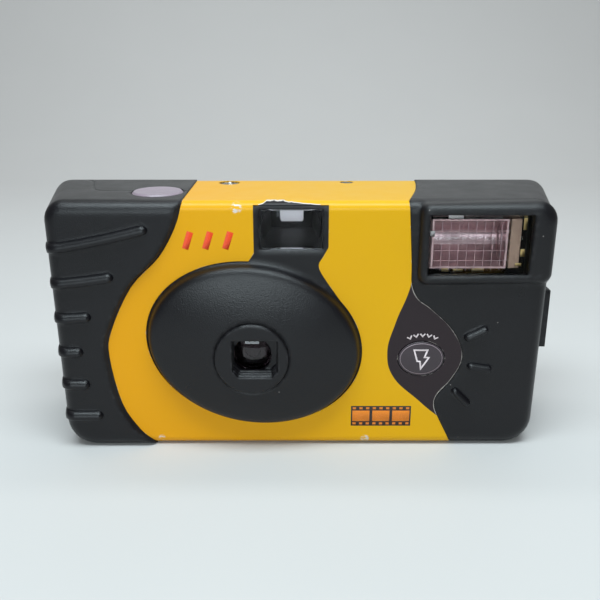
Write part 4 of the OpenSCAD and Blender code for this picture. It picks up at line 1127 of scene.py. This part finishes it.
@dataclass
class Studio:
    """Pale sweep, soft lamps, plain world and the camera of the photograph."""

    half_wide: float = 1600.0
    near: float = -1400.0
    bend_start: float = 350.0
    bend: float = 400.0
    bend_steps: int = 24
    top: float = 1500.0
    floor_colour: Colour = (0.56, 0.545, 0.535)
    paper_shade: float = 0.97
    world_light: float = 0.15
    eye: Place = (0.0, -181.25, 94.5)
    pitch: float = 18.5
    lens: float = 45.18
    sensor: float = 36.0
    nearest: float = 5.0
    lamps: tuple[Lamp, ...] = (
        Lamp("overhead", (0, -150, 470), (0, 0, 45), 430, 170, 2.9, (0.82, 0.95, 1.0)),
        Lamp("front_window", (-60, -620, 235), (0, 0, 35), 520, 200, 2.05, (0.82, 0.95, 1.0)),
        Lamp("rear_rim", (60, 420, 420), (0, 0, 50), 500, 200, 0.4),
        Lamp("backdrop_wash", (0, 200, 700), (0, 750, 200), 900, 200, 2.8))

    def sweep(self) -> None:
        """A floor that bends up into a wall: a line, a quarter circle and a line, carried along x."""
        turn = np.linspace(0, math.pi / 2, self.bend_steps)
        bend_y = self.bend_start + self.bend * np.sin(turn)
        bend_z = self.bend * (1 - np.cos(turn))
        y = np.concatenate([[self.near], bend_y, [self.bend_start + self.bend]])
        z = np.concatenate([[0.0], bend_z, [self.top]])
        x = np.linspace(-self.half_wide, self.half_wide, 3)
        grid = np.stack(np.broadcast_arrays(x[None, :], y[:, None], z[:, None]), axis=-1)
        shader = Shader("sweep_paper")
        shade = tuple(self.paper_shade * v for v in self.floor_colour)
        base = shader.blend(shader.noise(size=60.0, detail=2.0), self.floor_colour, shade)
        paper = shader.set(Base_Color=base, Roughness=0.8).material
        piece = put_in("sweep", grid_mesh("sweep", grid, paper))

    def light(self) -> None:
        """Lights the object with the lamps and an even pale world."""
        world = bpy.data.worlds.new("studio")
        world.use_nodes = True
        background = world.node_tree.nodes["Background"]
        background.inputs["Color"].default_value = (1.0, 0.98, 0.98, 1.0)
        background.inputs["Strength"].default_value = self.world_light
        bpy.context.scene.world = world
        for lamp in self.lamps:
            lamp.build()

    def camera(self) -> None:
        """Sets the camera where the photograph was taken from."""
        data = bpy.data.cameras.new("camera")
        data.lens = self.lens
        data.sensor_width = self.sensor
        data.clip_start = self.nearest * MM
        camera = put_in("camera", data)
        camera.location = Vector(self.eye) * MM
        camera.rotation_euler = Euler((math.radians(90 - self.pitch), 0, 0))
        bpy.context.scene.camera = camera

    def build(self) -> None:
        """Builds the sweep, the lamps and the camera."""
        bpy.context.scene.view_settings.view_transform = "Standard"
        self.sweep()
        self.light()
        self.camera()


def main() -> None:
    """Builds and dresses every sub-assembly, then the studio."""
    logging.basicConfig(level=logging.INFO, format="%(name)s: %(message)s")
    workshop = Workshop()
    for unit in (Shell(), LabelWrap(), LensUnit(), FlashUnit(), Controls(), Finder(), Insides()):
        unit.build(workshop)
        unit.dress(workshop)
    Studio().build()
    bpy.context.view_layer.update()


if __name__ == "__main__":
    main()
